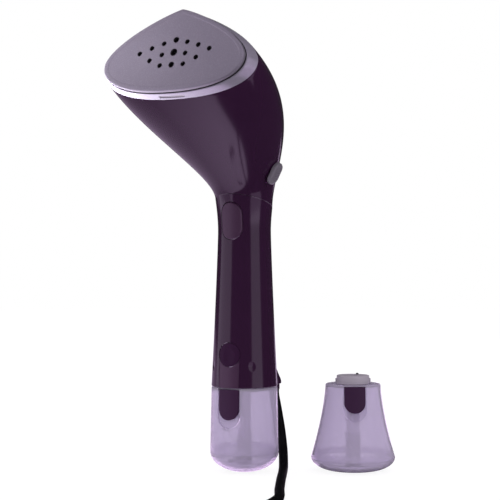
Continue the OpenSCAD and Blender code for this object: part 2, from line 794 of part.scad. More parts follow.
module tank_socket() {
    color([0.24, 0.20, 0.26]) difference() {
        union() {
            translate([0, 0, ceiling_z]) cylinder(r = 22.4, h = socket_top - ceiling_z);
            translate([0, 0, joint_z + gap]) cylinder(r = collar_r + 2.6, h = socket_top - joint_z - gap);
            translate([0, 0, joint_z + gap]) cylinder(r = joint_r - wall - gap, h = 2);
            translate([0, 0, ceiling_z]) cylinder(r = nozzle_r, h = 12.5);
            for (s = [-1, 1]) translate([s * (latch_half_w + 0.4 + ear_t / 2), latch_y, 0]) {
                translate([-ear_t / 2, -2, socket_top - 0.5]) cube([ear_t, 4, latch_z - socket_top + 0.5]);
                translate([0, 0, latch_z]) cross_pin(2, ear_t);
            }
            translate([-3.5, spring_plate_y, socket_top - 0.5]) cube([7, 1.2, release_z + 3.6 - socket_top]);
        }
        difference() {
            translate([0, 0, joint_z - 1]) cylinder(r = collar_r + 0.5, h = ceiling_z - joint_z + 1);
            translate([0, 0, tank_top + 3.5]) cylinder(r = 2.5, h = far / 4);
        }
        for (s = [-1, 1]) translate([s * collar_r - 1.5, -2.2, joint_z - 1]) cube([3, 4.4, 7]);
        translate([0, 0, tank_top]) cylinder(r = 1, h = far / 4);
        translate([-latch_half_w - 0.4, -24, joint_z + 2.6]) cube([2 * latch_half_w + 0.8, 12, 14]);
        translate([0, latch_y, latch_z]) cross_pin(latch_pin_r + pin_gap, 30);
    }
}

module socket_seal() {
    color([0.10, 0.10, 0.11]) translate([0, 0, tank_top + 5]) rotate_extrude()
        translate([3, 0]) circle(r = port_r - 3 - pin_gap, $fn = 24);
}

module release_button() {
    front = handle_r(release_z);
    back = 20.6;
    lug_front = 18.9;
    lug_back = 17.8;
    color([0.22, 0.12, 0.22]) {
        difference() {
            intersection() {
                translate([0, -front - 1, release_z]) rotate([-90, 0, 0]) cylinder(r = release_r, h = front + 1 - back);
                rotate_extrude() handle_profile(0.1);
            }
            translate([0, -front - 24, release_z]) sphere(r = 25);
        }
        // two lugs behind the handle's wall
        for (s = [-1, 1]) {
            translate([s * (release_r - 1.7) - 1.3, -back - 0.1, release_z - 3]) cube([2.6, back + 0.1 - lug_back, 6]);
            translate([s * (release_r - 0.8) - 2.4, -lug_front, release_z - 3]) cube([4.8, lug_front - lug_back, 6]);
        }
        translate([0, -back - 0.5, release_z]) rotate([-90, 0, 0])
            cylinder(r = 1.2, h = back + 0.5 + latch_y - latch_t / 2 - 1.2 * gap);
    }
}

module tank_latch() {
    color([0.80, 0.80, 0.82]) {
        translate([-latch_half_w, latch_y - latch_t / 2, latch_z - 14]) cube([2 * latch_half_w, latch_t, 23]);
        translate([-latch_half_w, latch_y, latch_z - 14]) cube([2 * latch_half_w, -collar_r - gap - latch_y, 1.8]);
        translate([0, latch_y, latch_z]) cross_pin(1.8, 2 * latch_half_w);
        translate([0, latch_y, latch_z]) cross_pin(latch_pin_r, 2 * (latch_half_w + 0.4 + ear_t));
    }
}

module release_spring() {
    back = latch_y + latch_t / 2;
    color([0.75, 0.75, 0.78]) translate([0, back, release_z]) rotate([-90, 0, 0])
        coil_spring(2, 0.35, 3, spring_plate_y - back);
}

// ---- cord and plug ----
relief_z = joint_z - 4.2;
// Route of the cord from the gland to the coil, laid on the level of the tank's foot
cord_route = [
    [11.7, 27.6, -88.2], [11.7, 27.6, -93], [13.6, 28.3, -104], [17.5, 26.9, -120], [22.4, 21.6, -134.5],
    [30.2, 8.2, -144], [38, -7, -147], [56, -43, -147], [74, -78, -147], [92, -113, -147],
    [99, -150, -147], [100.4, -200, -147], [100.3, -245, -147], [100.1, -279, -147]
];
cord_side = [0.87, 0.5, 0];
coil_place = [49, -280.5];
coil_half_w = coil_wide * 7.4 / 2;
coil_h = coil_high * 7.4;
plug_place = [0, -319.5, floor_z + plug_h / 2];
lead_route = [
    [31.5, -328.5, -139.6], [16, -323.4, -140.2], [6, -320.6, plug_place[2] + 0.1], plug_place
];

module cord_relief() {
    color(aubergine) translate([gland_place[0], gland_place[1], relief_z])
        cylinder(r = cord_r + 0.25, h = joint_z + gland_seat - gap - relief_z);
}

module mains_cord() {
    color([0.06, 0.06, 0.07]) rod_skin(tube_rings(smooth_path(cord_route, 4), cord_r, cord_side, 8));
}

module cord_coil() {
    color([0.06, 0.06, 0.07]) translate([coil_place[0], coil_place[1], floor_z]) rotate_extrude()
        translate([coil_mid_r, 0]) {
            translate([-coil_half_w + cord_r, 0]) square([2 * (coil_half_w - cord_r), coil_h]);
            translate([-coil_half_w, cord_r]) square([2 * coil_half_w, coil_h - 2 * cord_r]);
            for (s = [-1, 1], z = [cord_r, coil_h - cord_r])
                translate([s * (coil_half_w - cord_r), z]) circle(r = cord_r);
        }
}

module plug_lead() {
    color([0.06, 0.06, 0.07]) rod_skin(tube_rings(smooth_path(lead_route, 3), cord_r, [0, 0, 1], 8));
}

plug_face = plug_place[0] - 6 - plug_len;
// The pins' thinner ends, which sit inside the plug
plug_shank_r = plug_pin_r - 0.5;
module mains_plug() {
    color([0.07, 0.07, 0.08]) difference() {
        union() {
            translate([plug_face, plug_place[1], plug_place[2]]) rotate([0, 90, 0])
                for (s = [-1, 1]) translate([0, s * (plug_w - plug_h) / 2, 0]) cylinder(d = plug_h, h = plug_len);
            translate([plug_face, plug_place[1] - (plug_w - plug_h) / 2, plug_place[2] - plug_h / 2])
                cube([plug_len, plug_w - plug_h, plug_h]);
            translate([plug_place[0] - 7, plug_place[1], plug_place[2]]) rotate([0, 90, 0]) cylinder(r = 5.5, h = 7);
        }
        for (s = [-1, 1]) translate([plug_face - 1, plug_place[1] + s * plug_pin_pitch / 2, plug_place[2]])
            rotate([0, 90, 0]) cylinder(r = plug_shank_r, h = 13);
    }
}

module plug_pins() {
    color([0.80, 0.72, 0.45]) for (s = [-1, 1])
        translate([plug_face - plug_pin_len, plug_place[1] + s * plug_pin_pitch / 2, plug_place[2]])
            rotate([0, 90, 0]) {
                cylinder(r = plug_pin_r, h = plug_pin_len);
                cylinder(r = plug_shank_r, h = plug_pin_len + 11.9);
            }
}

// ---- tanks ----
// Each tank: top radius, largest radius, power of its flare, height of its foot, flat foot's radius,
// door's lean, door's length, height of its shoulder, door's width
MAIN = [tank_top_r, tank_max_r, 1, dome_h, 3, 1.5, door_len, tank_top, door_w];
SPARE = [spare_top_r, spare_max_r, 1.5, spare_foot_h, spare_foot_r, 8, spare_door_len, floor_z + spare_h,
    spare_door_w];
base_lip = 5;
tank_top_t = 2;
foot_steps = 10;
wall_steps = 10;

function tank_r(tank, z) =
    let (corner = floor_z + tank[3])
    z >= corner
        ? tank[0] + (tank[1] - tank[0]) * pow((tank[7] - z) / (tank[7] - corner), tank[2])
        : tank[4] + (tank[1] - tank[4]) * sqrt(max(0, 1 - pow((corner - z) / tank[3], 2)));
function tank_outline(tank, inset, low, high) =
    let (corner = floor_z + tank[3])
    concat(
        [[0, low]],
        [for (i = [0 : foot_steps]) let (a = 90 * i / foot_steps)
            [tank[4] + (tank[1] - tank[4]) * sin(a) - inset,
             max(low, corner - tank[3] * cos(a) + inset * cos(a))]],
        [for (i = [1 : wall_steps]) let (z = corner + (tank[7] - corner) * i / wall_steps)
            [tank_r(tank, z) - inset, min(z, high)]],
        [[0, high]]);

module tank_solid(tank, inset) {
    rotate_extrude() polygon(tank_outline(
        tank, inset, floor_z + inset, inset > 0.5 ? tank[7] - tank_top_t : tank[7]));
}

weld_rise = 1.5;
function weld_z(tank) = floor_z + tank[3] - weld_rise;
module below(z) {
    translate([-far / 2, -far / 2, z - far]) cube([far, far, far]);
}

// Frame of the fill door: X along its hinge pin, -Z down the door, -Y outwards
hinge_in = 1.8;
hinge_drop = 2.4;
floor_in = 1.5;
barrel_r = 1.2;
door_pin_r = 0.6;
door_gap = 0.8;
fill_drop = 11.5;
ear_x = 5;
module door_frame(tank) {
    translate([0, hinge_in - tank[0], tank[7] - hinge_drop]) rotate([-tank[5], 0, 0]) children();
}

// Door-shaped prism with a round lower end, from the hinge line down
module door_prism(w, drop, rise, near, deep) {
    translate([0, near, 0]) rotate([-90, 0, 0]) {
        translate([-w / 2, -rise, 0]) cube([w, drop + rise - w / 2, deep - near]);
        translate([0, drop - w / 2, 0]) cylinder(d = w, h = deep - near);
    }
}

module fill_hole(r) {
    rotate([-90, 0, 0]) translate([0, fill_drop, -far / 8]) cylinder(r = r, h = far / 4);
}

module upper_tank(tank) {
    color(lavender) difference() {
        union() {
            difference() {
                tank_solid(tank, 0);
                tank_solid(tank, tank_wall);
            }
            intersection() {
                tank_solid(tank, 0);
                door_frame(tank) door_prism(tank[8] + 5, tank[6] + recess_len + 2, 9, -9, floor_in + tank_wall);
            }
        }
        below(weld_z(tank));
        difference() {
            door_frame(tank) door_prism(tank[8] + 1.6, tank[6] + recess_len, 9, -9, floor_in);
            door_frame(tank) for (s = [-1, 1]) translate([s * ear_x, 0, 0]) hinge_ear();
        }
        door_frame(tank) fill_hole(fill_r);
        door_frame(tank) cross_pin(door_pin_r, 30);
        translate([0, 0, tank[7] - tank_top_t - 1]) cylinder(r = 9.5 + pin_gap, h = tank_top_t + 2);
    }
}

module hinge_ear() {
    cross_pin(barrel_r, 1.6);
    translate([-0.8, 0, -barrel_r]) cube([1.6, floor_in + 0.1, 2 * barrel_r]);
}

module lower_tank(tank) {
    weld = weld_z(tank);
    color(lavender) difference() {
        union() {
            intersection() {
                tank_solid(tank, 0);
                below(weld);
            }
            intersection() {
                tank_solid(tank, tank_wall + 0.1);
                translate([0, 0, weld - 1]) cylinder(r = far / 4, h = base_lip + 1);
            }
        }
        intersection() {
            tank_solid(tank, tank_wall);
            below(weld - 1);
        }
        translate([0, 0, weld - 2]) cylinder(r = tank_r(tank, weld + base_lip) - tank_wall - 1.4, h = base_lip + 5);
    }
}

lug_out = 1;
vent_r = 1;
module collar() {
    color([0.60, 0.58, 0.62]) difference() {
        union() {
            translate([0, 0, tank_top]) cylinder(r = collar_r, h = collar_h);
            translate([0, 0, tank_top - 4]) cylinder(r = 9.5, h = 5);
            translate([-collar_r - lug_out, -1.5, tank_top + 1.2]) cube([2 * (collar_r + lug_out), 3, 3]);
        }
        translate([0, 0, tank_top - 5]) cylinder(r = port_r, h = collar_h + 6);
        vent_place() cylinder(r = vent_r + pin_gap, h = far, center = true);
        translate([0, 0, tank_top - 5]) vent_place() cylinder(r = 1.9, h = 2.1);
    }
}

module vent_place() {
    translate([3.8, 6, 0]) children();
}

module vent() {
    color([0.20, 0.20, 0.22]) vent_place() {
        translate([0, 0, tank_top - 4]) cylinder(r = vent_r, h = collar_h + 5.2);
        translate([0, 0, tank_top - 4]) cylinder(r = 1.7, h = 1);
    }
}

// Room that the door's top may take up while it turns about its pin
module door_swing(tank) {
    door_frame(tank) {
        door_prism(tank[8], tank[6], 0, -9, floor_in - gap);
        cross_pin(floor_in - 0.1, tank[8]);
        intersection() {
            translate([-tank[8] / 2, -9, -0.1]) cube([tank[8], 8.5, 1.7]);
            cross_pin(hinge_drop - 0.05, tank[8]);
        }
    }
}

module door(tank) {
    color(aubergine) difference() {
        union() {
            difference() {
                intersection() {
                    tank_solid(tank, 0.1);
                    door_swing(tank);
                }
                // room for the ears of the hinge
                for (s = [-1, 1])
                    door_frame(tank) translate([s * ear_x - 1.1, -9, -barrel_r - 0.5]) cube([2.2, 18, 9]);
            }
            door_frame(tank) cross_pin(barrel_r, 2 * ear_x - 2.2);
        }
        door_frame(tank) cross_pin(door_pin_r + pin_gap, 2 * ear_x + 0.5);
    }
}

module hinge_pin(tank) {
    color([0.80, 0.80, 0.82]) door_frame(tank) cross_pin(door_pin_r, 2 * ear_x + 1.6);
}

module seal_plug(tank) {
    color([0.10, 0.10, 0.11]) door_frame(tank) translate([0, floor_in - gap, -fill_drop]) rotate([-90, 0, 0])
        cylinder(r = fill_r - 0.6, h = 1.8);
}

tube_r = 5;
tube_bore_r = 3;
tube_len = 34.5;
tube_split = tank_top - 4 - tube_len;
module dip_tube() {
    color([0.66, 0.60, 0.72]) translate([0, 0, tube_split]) difference() {
        cylinder(r = tube_r, h = tube_len);
        translate([0, 0, -1]) cylinder(r = tube_bore_r, h = far / 4);
    }
}

// Filter on the dip tube up to a height, its foot reaches to one side of the tank's floor
module filter_body(top, foot) {
    color([0.50, 0.45, 0.56]) {
        difference() {
            union() {
                translate([0, 0, floor_z + 5]) cylinder(r = tube_r + 0.8, h = top - floor_z - 5);
                if (foot)
                    translate([0, 0, floor_z + 10.5]) rotate([0, 0, -150]) rotate([0, 104, 0])
                        cylinder(r = 2.4, h = 13);
            }
            translate([0, 0, floor_z + 7]) cylinder(r = tube_bore_r, h = far / 4);
            translate([0, 0, floor_z + 4]) cylinder(r = 1.5, h = 5);
        }
    }
}

module on_spare() {
    translate([spare_place[0], spare_place[1], 0]) rotate([0, 0, spare_turn]) children();
}

// What sits in the spare tank's neck, which is as much higher as that tank is taller
module on_spare_neck() {
    on_spare() translate([0, 0, spare_h - tank_h]) children();
}

module tank_shell() { upper_tank(MAIN); }
module tank_base() { lower_tank(MAIN); }
module tank_collar() { collar(); }
module fill_door() { door(MAIN); }
module door_pin() { hinge_pin(MAIN); }
module door_seal() { seal_plug(MAIN); }
module pickup_tube() { dip_tube(); }
module pickup_filter() { filter_body(tube_split, true); }
module vent_pin() { vent(); }
module spare_shell() { on_spare() upper_tank(SPARE); }
module spare_base() { on_spare() lower_tank(SPARE); }
module spare_collar() { on_spare_neck() collar(); }
module spare_door() { on_spare() door(SPARE); }
module spare_door_pin() { on_spare() hinge_pin(SPARE); }
module spare_door_seal() { on_spare() seal_plug(SPARE); }
module spare_pickup_tube() { on_spare_neck() dip_tube(); }
module spare_pickup_filter() { on_spare() filter_body(tube_split + spare_h - tank_h, false); }
module spare_vent_pin() { on_spare_neck() vent(); }

steam_plate();
plate_seal();
head_bezel();
boiler();
boiler_cover();
heating_element();
thermostat();
thermal_fuse();
boiler_screws();
heat_shield();
head_shell();
thumb_slider();
slider_switch();
handle_front();
handle_rear();
handle_screws();
steam_trigger();
trigger_pin();
trigger_spring();
trigger_bracket();
trigger_switch();
pump_body();
pump_coil();
pump_yoke();
pump_mounts();
suction_hose();
delivery_hose();
control_board();
terminal_block();
wiring_harness();
tank_socket();
socket_seal();
release_button();
release_spring();
tank_latch();
cord_relief();
mains_cord();
cord_coil();
plug_lead();
mains_plug();
plug_pins();
tank_shell();
tank_base();
tank_collar();
fill_door();
door_pin();
door_seal();
pickup_tube();
pickup_filter();
vent_pin();
spare_shell();
spare_base();
spare_collar();
spare_door();
spare_door_pin();
spare_door_seal();
spare_pickup_tube();
spare_pickup_filter();
spare_vent_pin();
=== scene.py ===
"""Looks of a handheld garment steamer with a spare water tank."""

import json
import logging
import math
from collections.abc import Callable, Iterable, Sequence
from dataclasses import dataclass
from enum import Enum

import bmesh
import bpy
from mathutils import Matrix, Vector

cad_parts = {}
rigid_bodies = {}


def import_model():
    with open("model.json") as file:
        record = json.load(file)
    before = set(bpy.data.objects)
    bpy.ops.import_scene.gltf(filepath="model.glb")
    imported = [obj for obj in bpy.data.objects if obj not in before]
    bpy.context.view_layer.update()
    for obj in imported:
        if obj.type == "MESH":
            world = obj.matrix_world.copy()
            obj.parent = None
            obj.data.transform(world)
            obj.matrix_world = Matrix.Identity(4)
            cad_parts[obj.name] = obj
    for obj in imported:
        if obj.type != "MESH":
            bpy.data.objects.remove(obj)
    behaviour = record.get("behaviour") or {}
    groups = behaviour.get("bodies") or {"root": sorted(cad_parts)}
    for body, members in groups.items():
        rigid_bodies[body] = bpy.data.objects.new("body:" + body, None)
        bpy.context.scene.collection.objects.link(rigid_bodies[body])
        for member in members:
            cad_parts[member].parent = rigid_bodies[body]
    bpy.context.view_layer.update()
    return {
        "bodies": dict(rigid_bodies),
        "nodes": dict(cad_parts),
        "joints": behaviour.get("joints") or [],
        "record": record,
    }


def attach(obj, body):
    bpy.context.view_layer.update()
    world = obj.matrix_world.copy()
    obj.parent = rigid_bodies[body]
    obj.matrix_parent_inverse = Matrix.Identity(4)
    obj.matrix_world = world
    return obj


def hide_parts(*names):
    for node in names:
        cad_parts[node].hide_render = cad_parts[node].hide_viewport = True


LOG = logging.getLogger("steamer")
MM = 0.001
QUARTER = math.pi / 2
INWARDS = Matrix.Rotation(-QUARTER, 4, "X")
RIGHTWARDS = Matrix.Rotation(QUARTER, 4, "Y")

Rgb = tuple[int, int, int]
Rgba = tuple[float, float, float, float]
Point = tuple[float, float, float]
Point2 = tuple[float, float]
Ring = list[Vector]
Depth = Callable[[float, float], float]
Skin = bmesh.types.BMesh
Piece = bpy.types.Object
Paint = bpy.types.Material
Tree = bpy.types.NodeTree
Socket = bpy.types.NodeSocket


# ---------------------------------------------------------------- finishes


def tone(chip: Rgb) -> Rgba:
    """Turns a colour chip, 0 to 255 each, into scene-linear light by the usual display curve."""
    linear = [p / 12.92 if p <= 0.04045 else ((p + 0.055) / 1.055) ** 2.4 for p in (c / 255 for c in chip)]
    return (linear[0], linear[1], linear[2], 1.0)


class Grain(Enum):
    """How the fine texture of a finish runs."""

    EVEN = (1.0, 1.0, 1.0)
    BRUSHED_X = (0.04, 1.0, 1.0)
    BRUSHED_Z = (1.0, 1.0, 0.04)
    WOUND = (0.02, 0.02, 1.0)


class Board:
    """Adds nodes to a shader tree and wires them."""

    def __init__(self, tree: Tree) -> None:
        """Keeps the tree's nodes and links."""
        self.nodes, self.links = tree.nodes, tree.links

    def feed(self, node: bpy.types.Node, inputs: dict[str | int, object]) -> None:
        """Sets inputs of a node.

        Args:
            node: The node.
            inputs: Value of each input, or the output that feeds it, by name or number.
        """
        for key, value in inputs.items():
            if isinstance(value, Socket):
                self.links.new(value, node.inputs[key])
            else:
                node.inputs[key].default_value = value

    def add(self, kind: str, inputs: dict[str | int, object], **settings: object) -> bpy.types.Node:
        """Adds a node.

        Args:
            kind: Its type, without the words that all shader nodes start with.
            inputs: As feed takes them.
            settings: Its own settings.

        Returns:
            The node.
        """
        node = self.nodes.new("ShaderNode" + kind)
        for name, value in settings.items():
            setattr(node, name, value)
        self.feed(node, inputs)
        return node

    def maths(self, operation: str, *values: float | Socket, clamp: bool = False) -> Socket:
        """Returns the result of one operation."""
        return self.add("Math", dict(enumerate(values)), operation=operation, use_clamp=clamp).outputs[0]

    def mixed(self, share: Socket, first: Socket, second: Socket) -> Socket:
        """Returns two colours mixed, with a share of the second."""
        return self.add("Mix", {"Factor": share, "A": first, "B": second}, data_type="RGBA").outputs["Result"]

    def ramp(self, value: Socket, low: float, high: float, first: float = 0.0, last: float = 1.0) -> Socket:
        """Returns a value moved from low and high to first and last, and held there."""
        places = {"Value": value, "From Min": low, "From Max": high, "To Min": first, "To Max": last}
        return self.add("MapRange", places).outputs["Result"]


class NodeGroups:
    """The shader node groups that several finishes share, each built once."""

    BASE = (0.5, 0.5, 0.5, 1.0)
    FLECKS = (0.9, 0.9, 0.95, 1.0)
    RUBBED = (0.8, 0.8, 0.8, 1.0)

    def __init__(self) -> None:
        """Builds the groups."""
        self.grain = self._grain()
        self.fleck = self._fleck()
        self.wear = self._wear()

    @staticmethod
    def _new(name: str, inputs: dict[str, Rgba | float], outputs: Sequence[str]) -> Tree:
        """Makes an empty group with named sockets, the first one for a vector.

        Args:
            name: Name of the group.
            inputs: Default of each input but the vector.
            outputs: Name of each output.

        Returns:
            The group's tree, with its nodes In and Out.
        """
        tree = bpy.data.node_groups.new(name, "ShaderNodeTree")
        tree.interface.new_socket(name="Vector", in_out="INPUT", socket_type="NodeSocketVector")
        for label, value in inputs.items():
            kind = "NodeSocketColor" if isinstance(value, tuple) else "NodeSocketFloat"
            tree.interface.new_socket(name=label, in_out="INPUT", socket_type=kind).default_value = value
        for label in outputs:
            kind = {"Colour": "NodeSocketColor", "Normal": "NodeSocketVector"}.get(label, "NodeSocketFloat")
            tree.interface.new_socket(name=label, in_out="OUTPUT", socket_type=kind)
        tree.nodes.new("NodeGroupInput").name = "In"
        tree.nodes.new("NodeGroupOutput").name = "Out"
        return tree

    def _grain(self) -> Tree:
        """Builds the moulded grain: soft mottle in the colour, fine grain in gloss and relief.

        Returns:
            The group.
        """
        numbers = {"Mottle Scale": 60.0, "Grain Scale": 1500.0, "Roughness": 0.3, "Spread": 0.05, "Relief": 0.00001}
        inputs = {"Colour": self.BASE, "Tint": self.BASE} | numbers
        tree = self._new("moulded_grain", inputs, ("Colour", "Roughness", "Normal"))
        board, given = Board(tree), tree.nodes["In"].outputs
        mottle = board.add("TexNoise", {"Detail": 3, "Vector": given["Vector"], "Scale": given["Mottle Scale"]})
        fine = board.add("TexNoise", {"Detail": 4, "Vector": given["Vector"], "Scale": given["Grain Scale"]})
        centred = board.maths("SUBTRACT", fine.outputs["Fac"], 0.5)
        rough = board.maths("MULTIPLY_ADD", centred, given["Spread"], given["Roughness"], clamp=True)
        bump = board.add("Bump", {"Strength": 0.6, "Distance": given["Relief"], "Height": fine.outputs["Fac"]})
        colour = board.mixed(mottle.outputs["Fac"], given["Colour"], given["Tint"])
        board.feed(tree.nodes["Out"], {"Colour": colour, "Roughness": rough, "Normal": bump.outputs["Normal"]})
        return tree

    def _fleck(self) -> Tree:
        """Builds the metal flecks of a pearl or plate coating.

        Returns:
            The group.
        """
        inputs = {"Colour": self.BASE, "Fleck Colour": self.FLECKS, "Scale": 2500.0, "Amount": 0.2}
        tree = self._new("coating_flecks", inputs, ("Colour",))
        board, given = Board(tree), tree.nodes["In"].outputs
        cells = board.add("TexVoronoi", {"Vector": given["Vector"], "Scale": given["Scale"]})
        spread = board.add("SeparateColor", {"Color": cells.outputs["Color"]})
        amount = board.maths("MULTIPLY", board.ramp(spread.outputs["Red"], 0.6, 1.0), given["Amount"])
        board.feed(tree.nodes["Out"], {"Colour": board.mixed(amount, given["Colour"], given["Fleck Colour"])})
        return tree

    def _wear(self) -> Tree:
        """Builds the light rubbing along raised edges.

        Returns:
            The group.
        """
        inputs = {"Colour": self.BASE, "Rubbed Colour": self.RUBBED, "Amount": 0.3}
        tree = self._new("edge_rub", inputs, ("Colour",))
        board, given = Board(tree), tree.nodes["In"].outputs
        edge = board.ramp(board.add("NewGeometry", {}).outputs["Pointiness"], 0.52, 0.62)
        patch = board.add("TexNoise", {"Scale": 300, "Vector": given["Vector"]})
        both = board.maths("MULTIPLY", edge, patch.outputs["Fac"])
        amount = board.maths("MULTIPLY", both, given["Amount"], clamp=True)
        board.feed(tree.nodes["Out"], {"Colour": board.mixed(amount, given["Colour"], given["Rubbed Colour"])})
        return tree


@dataclass(frozen=True)
class Finish:
    """One moulded, coated or metal finish and its numbers."""

    name: str
    colour: Rgb
    tint: Rgb
    roughness: float
    spread: float
    metallic: float = 0.0
    specular: float = 0.5
    transmission: float = 0.0
    ior: float = 1.5
    mottle_scale: float = 45.0
    grain_scale: float = 1500.0
    relief: float = 0.000004
    grain: Grain = Grain.EVEN
    fleck: float = 0.0
    rub: float = 0.0

    def build(self, groups: NodeGroups) -> Paint:
        """Makes the finish as a node material on Object coordinates.

        Args:
            groups: The shared node groups.

        Returns:
            The material.
        """
        material = bpy.data.materials.new(self.name)
        material.use_nodes = True
        board = Board(material.node_tree)
        place = board.add("TexCoord", {}).outputs["Object"]
        run = board.add("Mapping", {"Vector": place, "Scale": self.grain.value}).outputs["Vector"]
        inputs = {
            "Vector": run, "Colour": tone(self.colour), "Tint": tone(self.tint), "Mottle Scale": self.mottle_scale,
            "Grain Scale": self.grain_scale, "Roughness": self.roughness, "Spread": self.spread, "Relief": self.relief,
        }
        grain = board.add("Group", inputs, node_tree=groups.grain)
        colour = grain.outputs["Colour"]
        for group, amount in ((groups.fleck, self.fleck), (groups.wear, self.rub)):
            if amount:
                inputs = {"Vector": place, "Colour": colour, "Amount": amount}
                colour = board.add("Group", inputs, node_tree=group).outputs["Colour"]
        inputs = {
            "Base Color": colour, "Roughness": grain.outputs["Roughness"], "Normal": grain.outputs["Normal"],
            "Metallic": self.metallic, "Specular IOR Level": self.specular, "Transmission Weight": self.transmission,
            "IOR": self.ior,
        }
        board.feed(board.nodes["Principled BSDF"], inputs)
        return material


CHIPS = (
    Finish("aubergine_gloss", (45, 20, 46), (49, 23, 50), 0.13, 0.04, relief=0.000002),
    Finish("aubergine_satin", (66, 39, 66), (70, 43, 70), 0.36, 0.08, specular=0.4, grain_scale=2600),
    Finish("plate_coating", (122, 115, 130), (127, 120, 135), 0.42, 0.1, metallic=0.35, fleck=0.05, rub=0.2),
    Finish("aubergine_lid", (54, 26, 57), (58, 30, 61), 0.5, 0.08, specular=0.2, grain_scale=2600),
    Finish("aubergine_dish", (47, 18, 49), (51, 22, 53), 0.5, 0.06, specular=0.1, grain_scale=2600),
    # near-black painted shade for the bores and rims of the steam holes
    Finish("soot_dark", (22, 19, 24), (28, 24, 30), 0.7, 0.1),
    Finish("pearl_bezel", (150, 143, 160), (156, 149, 166), 0.26, 0.04, metallic=0.35, fleck=0.08),
    Finish("slider_grey", (106, 100, 110), (114, 108, 118), 0.38, 0.1, grain_scale=2200),
    Finish(
        "tank_clear", (222, 213, 233), (225, 216, 236), 0.09, 0.02,
        transmission=0.65, ior=1.12, specular=0.3, relief=0.0,
    ),
    Finish("collar_grey", (168, 161, 171), (174, 167, 177), 0.4, 0.08),
    Finish("pickup_grey", (160, 146, 175), (166, 152, 181), 0.4, 0.08),
    Finish("filter_grey", (112, 97, 130), (118, 103, 136), 0.5, 0.1, grain_scale=3000, relief=0.00002),
    Finish("rubber_black", (24, 23, 26), (30, 29, 32), 0.6, 0.1, grain_scale=2600, relief=0.00002),
    Finish("cord_black", (11, 10, 13), (15, 14, 17), 0.6, 0.1, specular=0.15, grain_scale=1800, relief=0.00001),
    Finish(
        "cast_aluminium", (190, 191, 194), (170, 171, 175), 0.48, 0.2,
        metallic=0.9, grain_scale=900, relief=0.00003,
    ),
    Finish("steel_sheet", (165, 167, 171), (150, 152, 157), 0.35, 0.15, metallic=1.0, grain=Grain.BRUSHED_X),
    Finish("steel_bright", (205, 205, 208), (190, 190, 194), 0.25, 0.12, metallic=1.0, grain=Grain.BRUSHED_Z),
    Finish("heater_steel", (92, 84, 80), (70, 68, 78), 0.45, 0.2, metallic=0.9, mottle_scale=120),
    Finish("ceramic_white", (232, 228, 218), (224, 220, 210), 0.55, 0.1),
    Finish("fuse_brass", (205, 170, 96), (190, 152, 80), 0.32, 0.12, metallic=1.0),
    Finish("switch_black", (34, 34, 37), (40, 40, 43), 0.5, 0.1),
    Finish("pump_plastic", (222, 219, 210), (214, 211, 202), 0.45, 0.1),
    Finish(
        "coil_copper", (196, 112, 60), (168, 86, 44), 0.3, 0.2,
        metallic=1.0, grain=Grain.WOUND, relief=0.00015, grain_scale=2400,
    ),
    Finish("hose_silicone", (226, 224, 216), (214, 212, 206), 0.4, 0.1, transmission=0.3),
    Finish("board_green", (30, 96, 58), (24, 78, 48), 0.35, 0.15),
    Finish("wire_red", (196, 46, 40), (176, 36, 32), 0.4, 0.1),
    Finish("socket_plastic", (66, 54, 70), (72, 60, 76), 0.45, 0.1),
    Finish("pin_nickel", (206, 198, 176), (196, 188, 168), 0.22, 0.1, metallic=1.0, rub=0.3),
    Finish("vent_black", (52, 50, 56), (58, 56, 62), 0.45, 0.1),
)


class Finishes:
    """Every finish of the steamer, by name."""

    def __init__(self) -> None:
        """Builds all the materials."""
        groups = NodeGroups()
        self.made = {chip.name: chip.build(groups) for chip in CHIPS}

    def __getitem__(self, name: str) -> Paint:
        """Returns the finish of that name."""
        return self.made[name]


# ---------------------------------------------------------------- shaping


def smoothstep(t: float) -> float:
    """Eases t from 0 to 1."""
    return t * t * (3 - 2 * t)


def signed_pow(value: float, power: float) -> float:
    """Raises the size of value to a power and keeps its sign."""
    return math.copysign(abs(value) ** power, value)


def steps_between(low: float, high: float, steps: int) -> list[float]:
    """Returns evenly spread values from low to high, both ends included."""
    return [low + (high - low) * k / steps for k in range(steps + 1)]


def rounding(radius: float, steps: int = 5) -> list[Point2]:
    """Returns how far each step of a quarter round lies inside the edge and under the face."""
    turns = [QUARTER * k / steps for k in range(steps + 1)]
    return [(radius * (1 - math.cos(a)), radius * (1 - math.sin(a))) for a in turns]


def loft(rings: Sequence[Ring], closed: bool = False) -> Skin:
    """Pulls a ring of edges through a row of rings.

    Args:
        rings: Rings with the same number of points each.
        closed: Whether the last ring joins the first again; if not, a face closes each end.

    Returns:
        The skin as a bmesh.
    """
    bm = bmesh.new()
    verts = bmesh.ops.create_circle(bm, segments=len(rings[0]), radius=1.0)["verts"]
    for vert, point in zip(verts, rings[0]):
        vert.co = point
    edges = list(bm.edges)
    if not closed:
        bmesh.ops.contextual_create(bm, geom=edges)
    for ring in list(rings[1:]) + ([rings[0]] if closed else []):
        grown = bmesh.ops.extrude_edge_only(bm, edges=edges)["geom"]
        fresh = {g for g in grown if isinstance(g, bmesh.types.BMVert)}
        edges = [g for g in grown if isinstance(g, bmesh.types.BMEdge) and set(g.verts) <= fresh]
        verts = [next(e.other_vert(v) for e in v.link_edges if e.other_vert(v) in fresh) for v in verts]
        for vert, point in zip(verts, ring):
            vert.co = point
    if not closed:
        bmesh.ops.contextual_create(bm, geom=edges)
    bmesh.ops.remove_doubles(bm, verts=bm.verts, dist=1e-4)
    bmesh.ops.recalc_face_normals(bm, faces=bm.faces)
    return bm


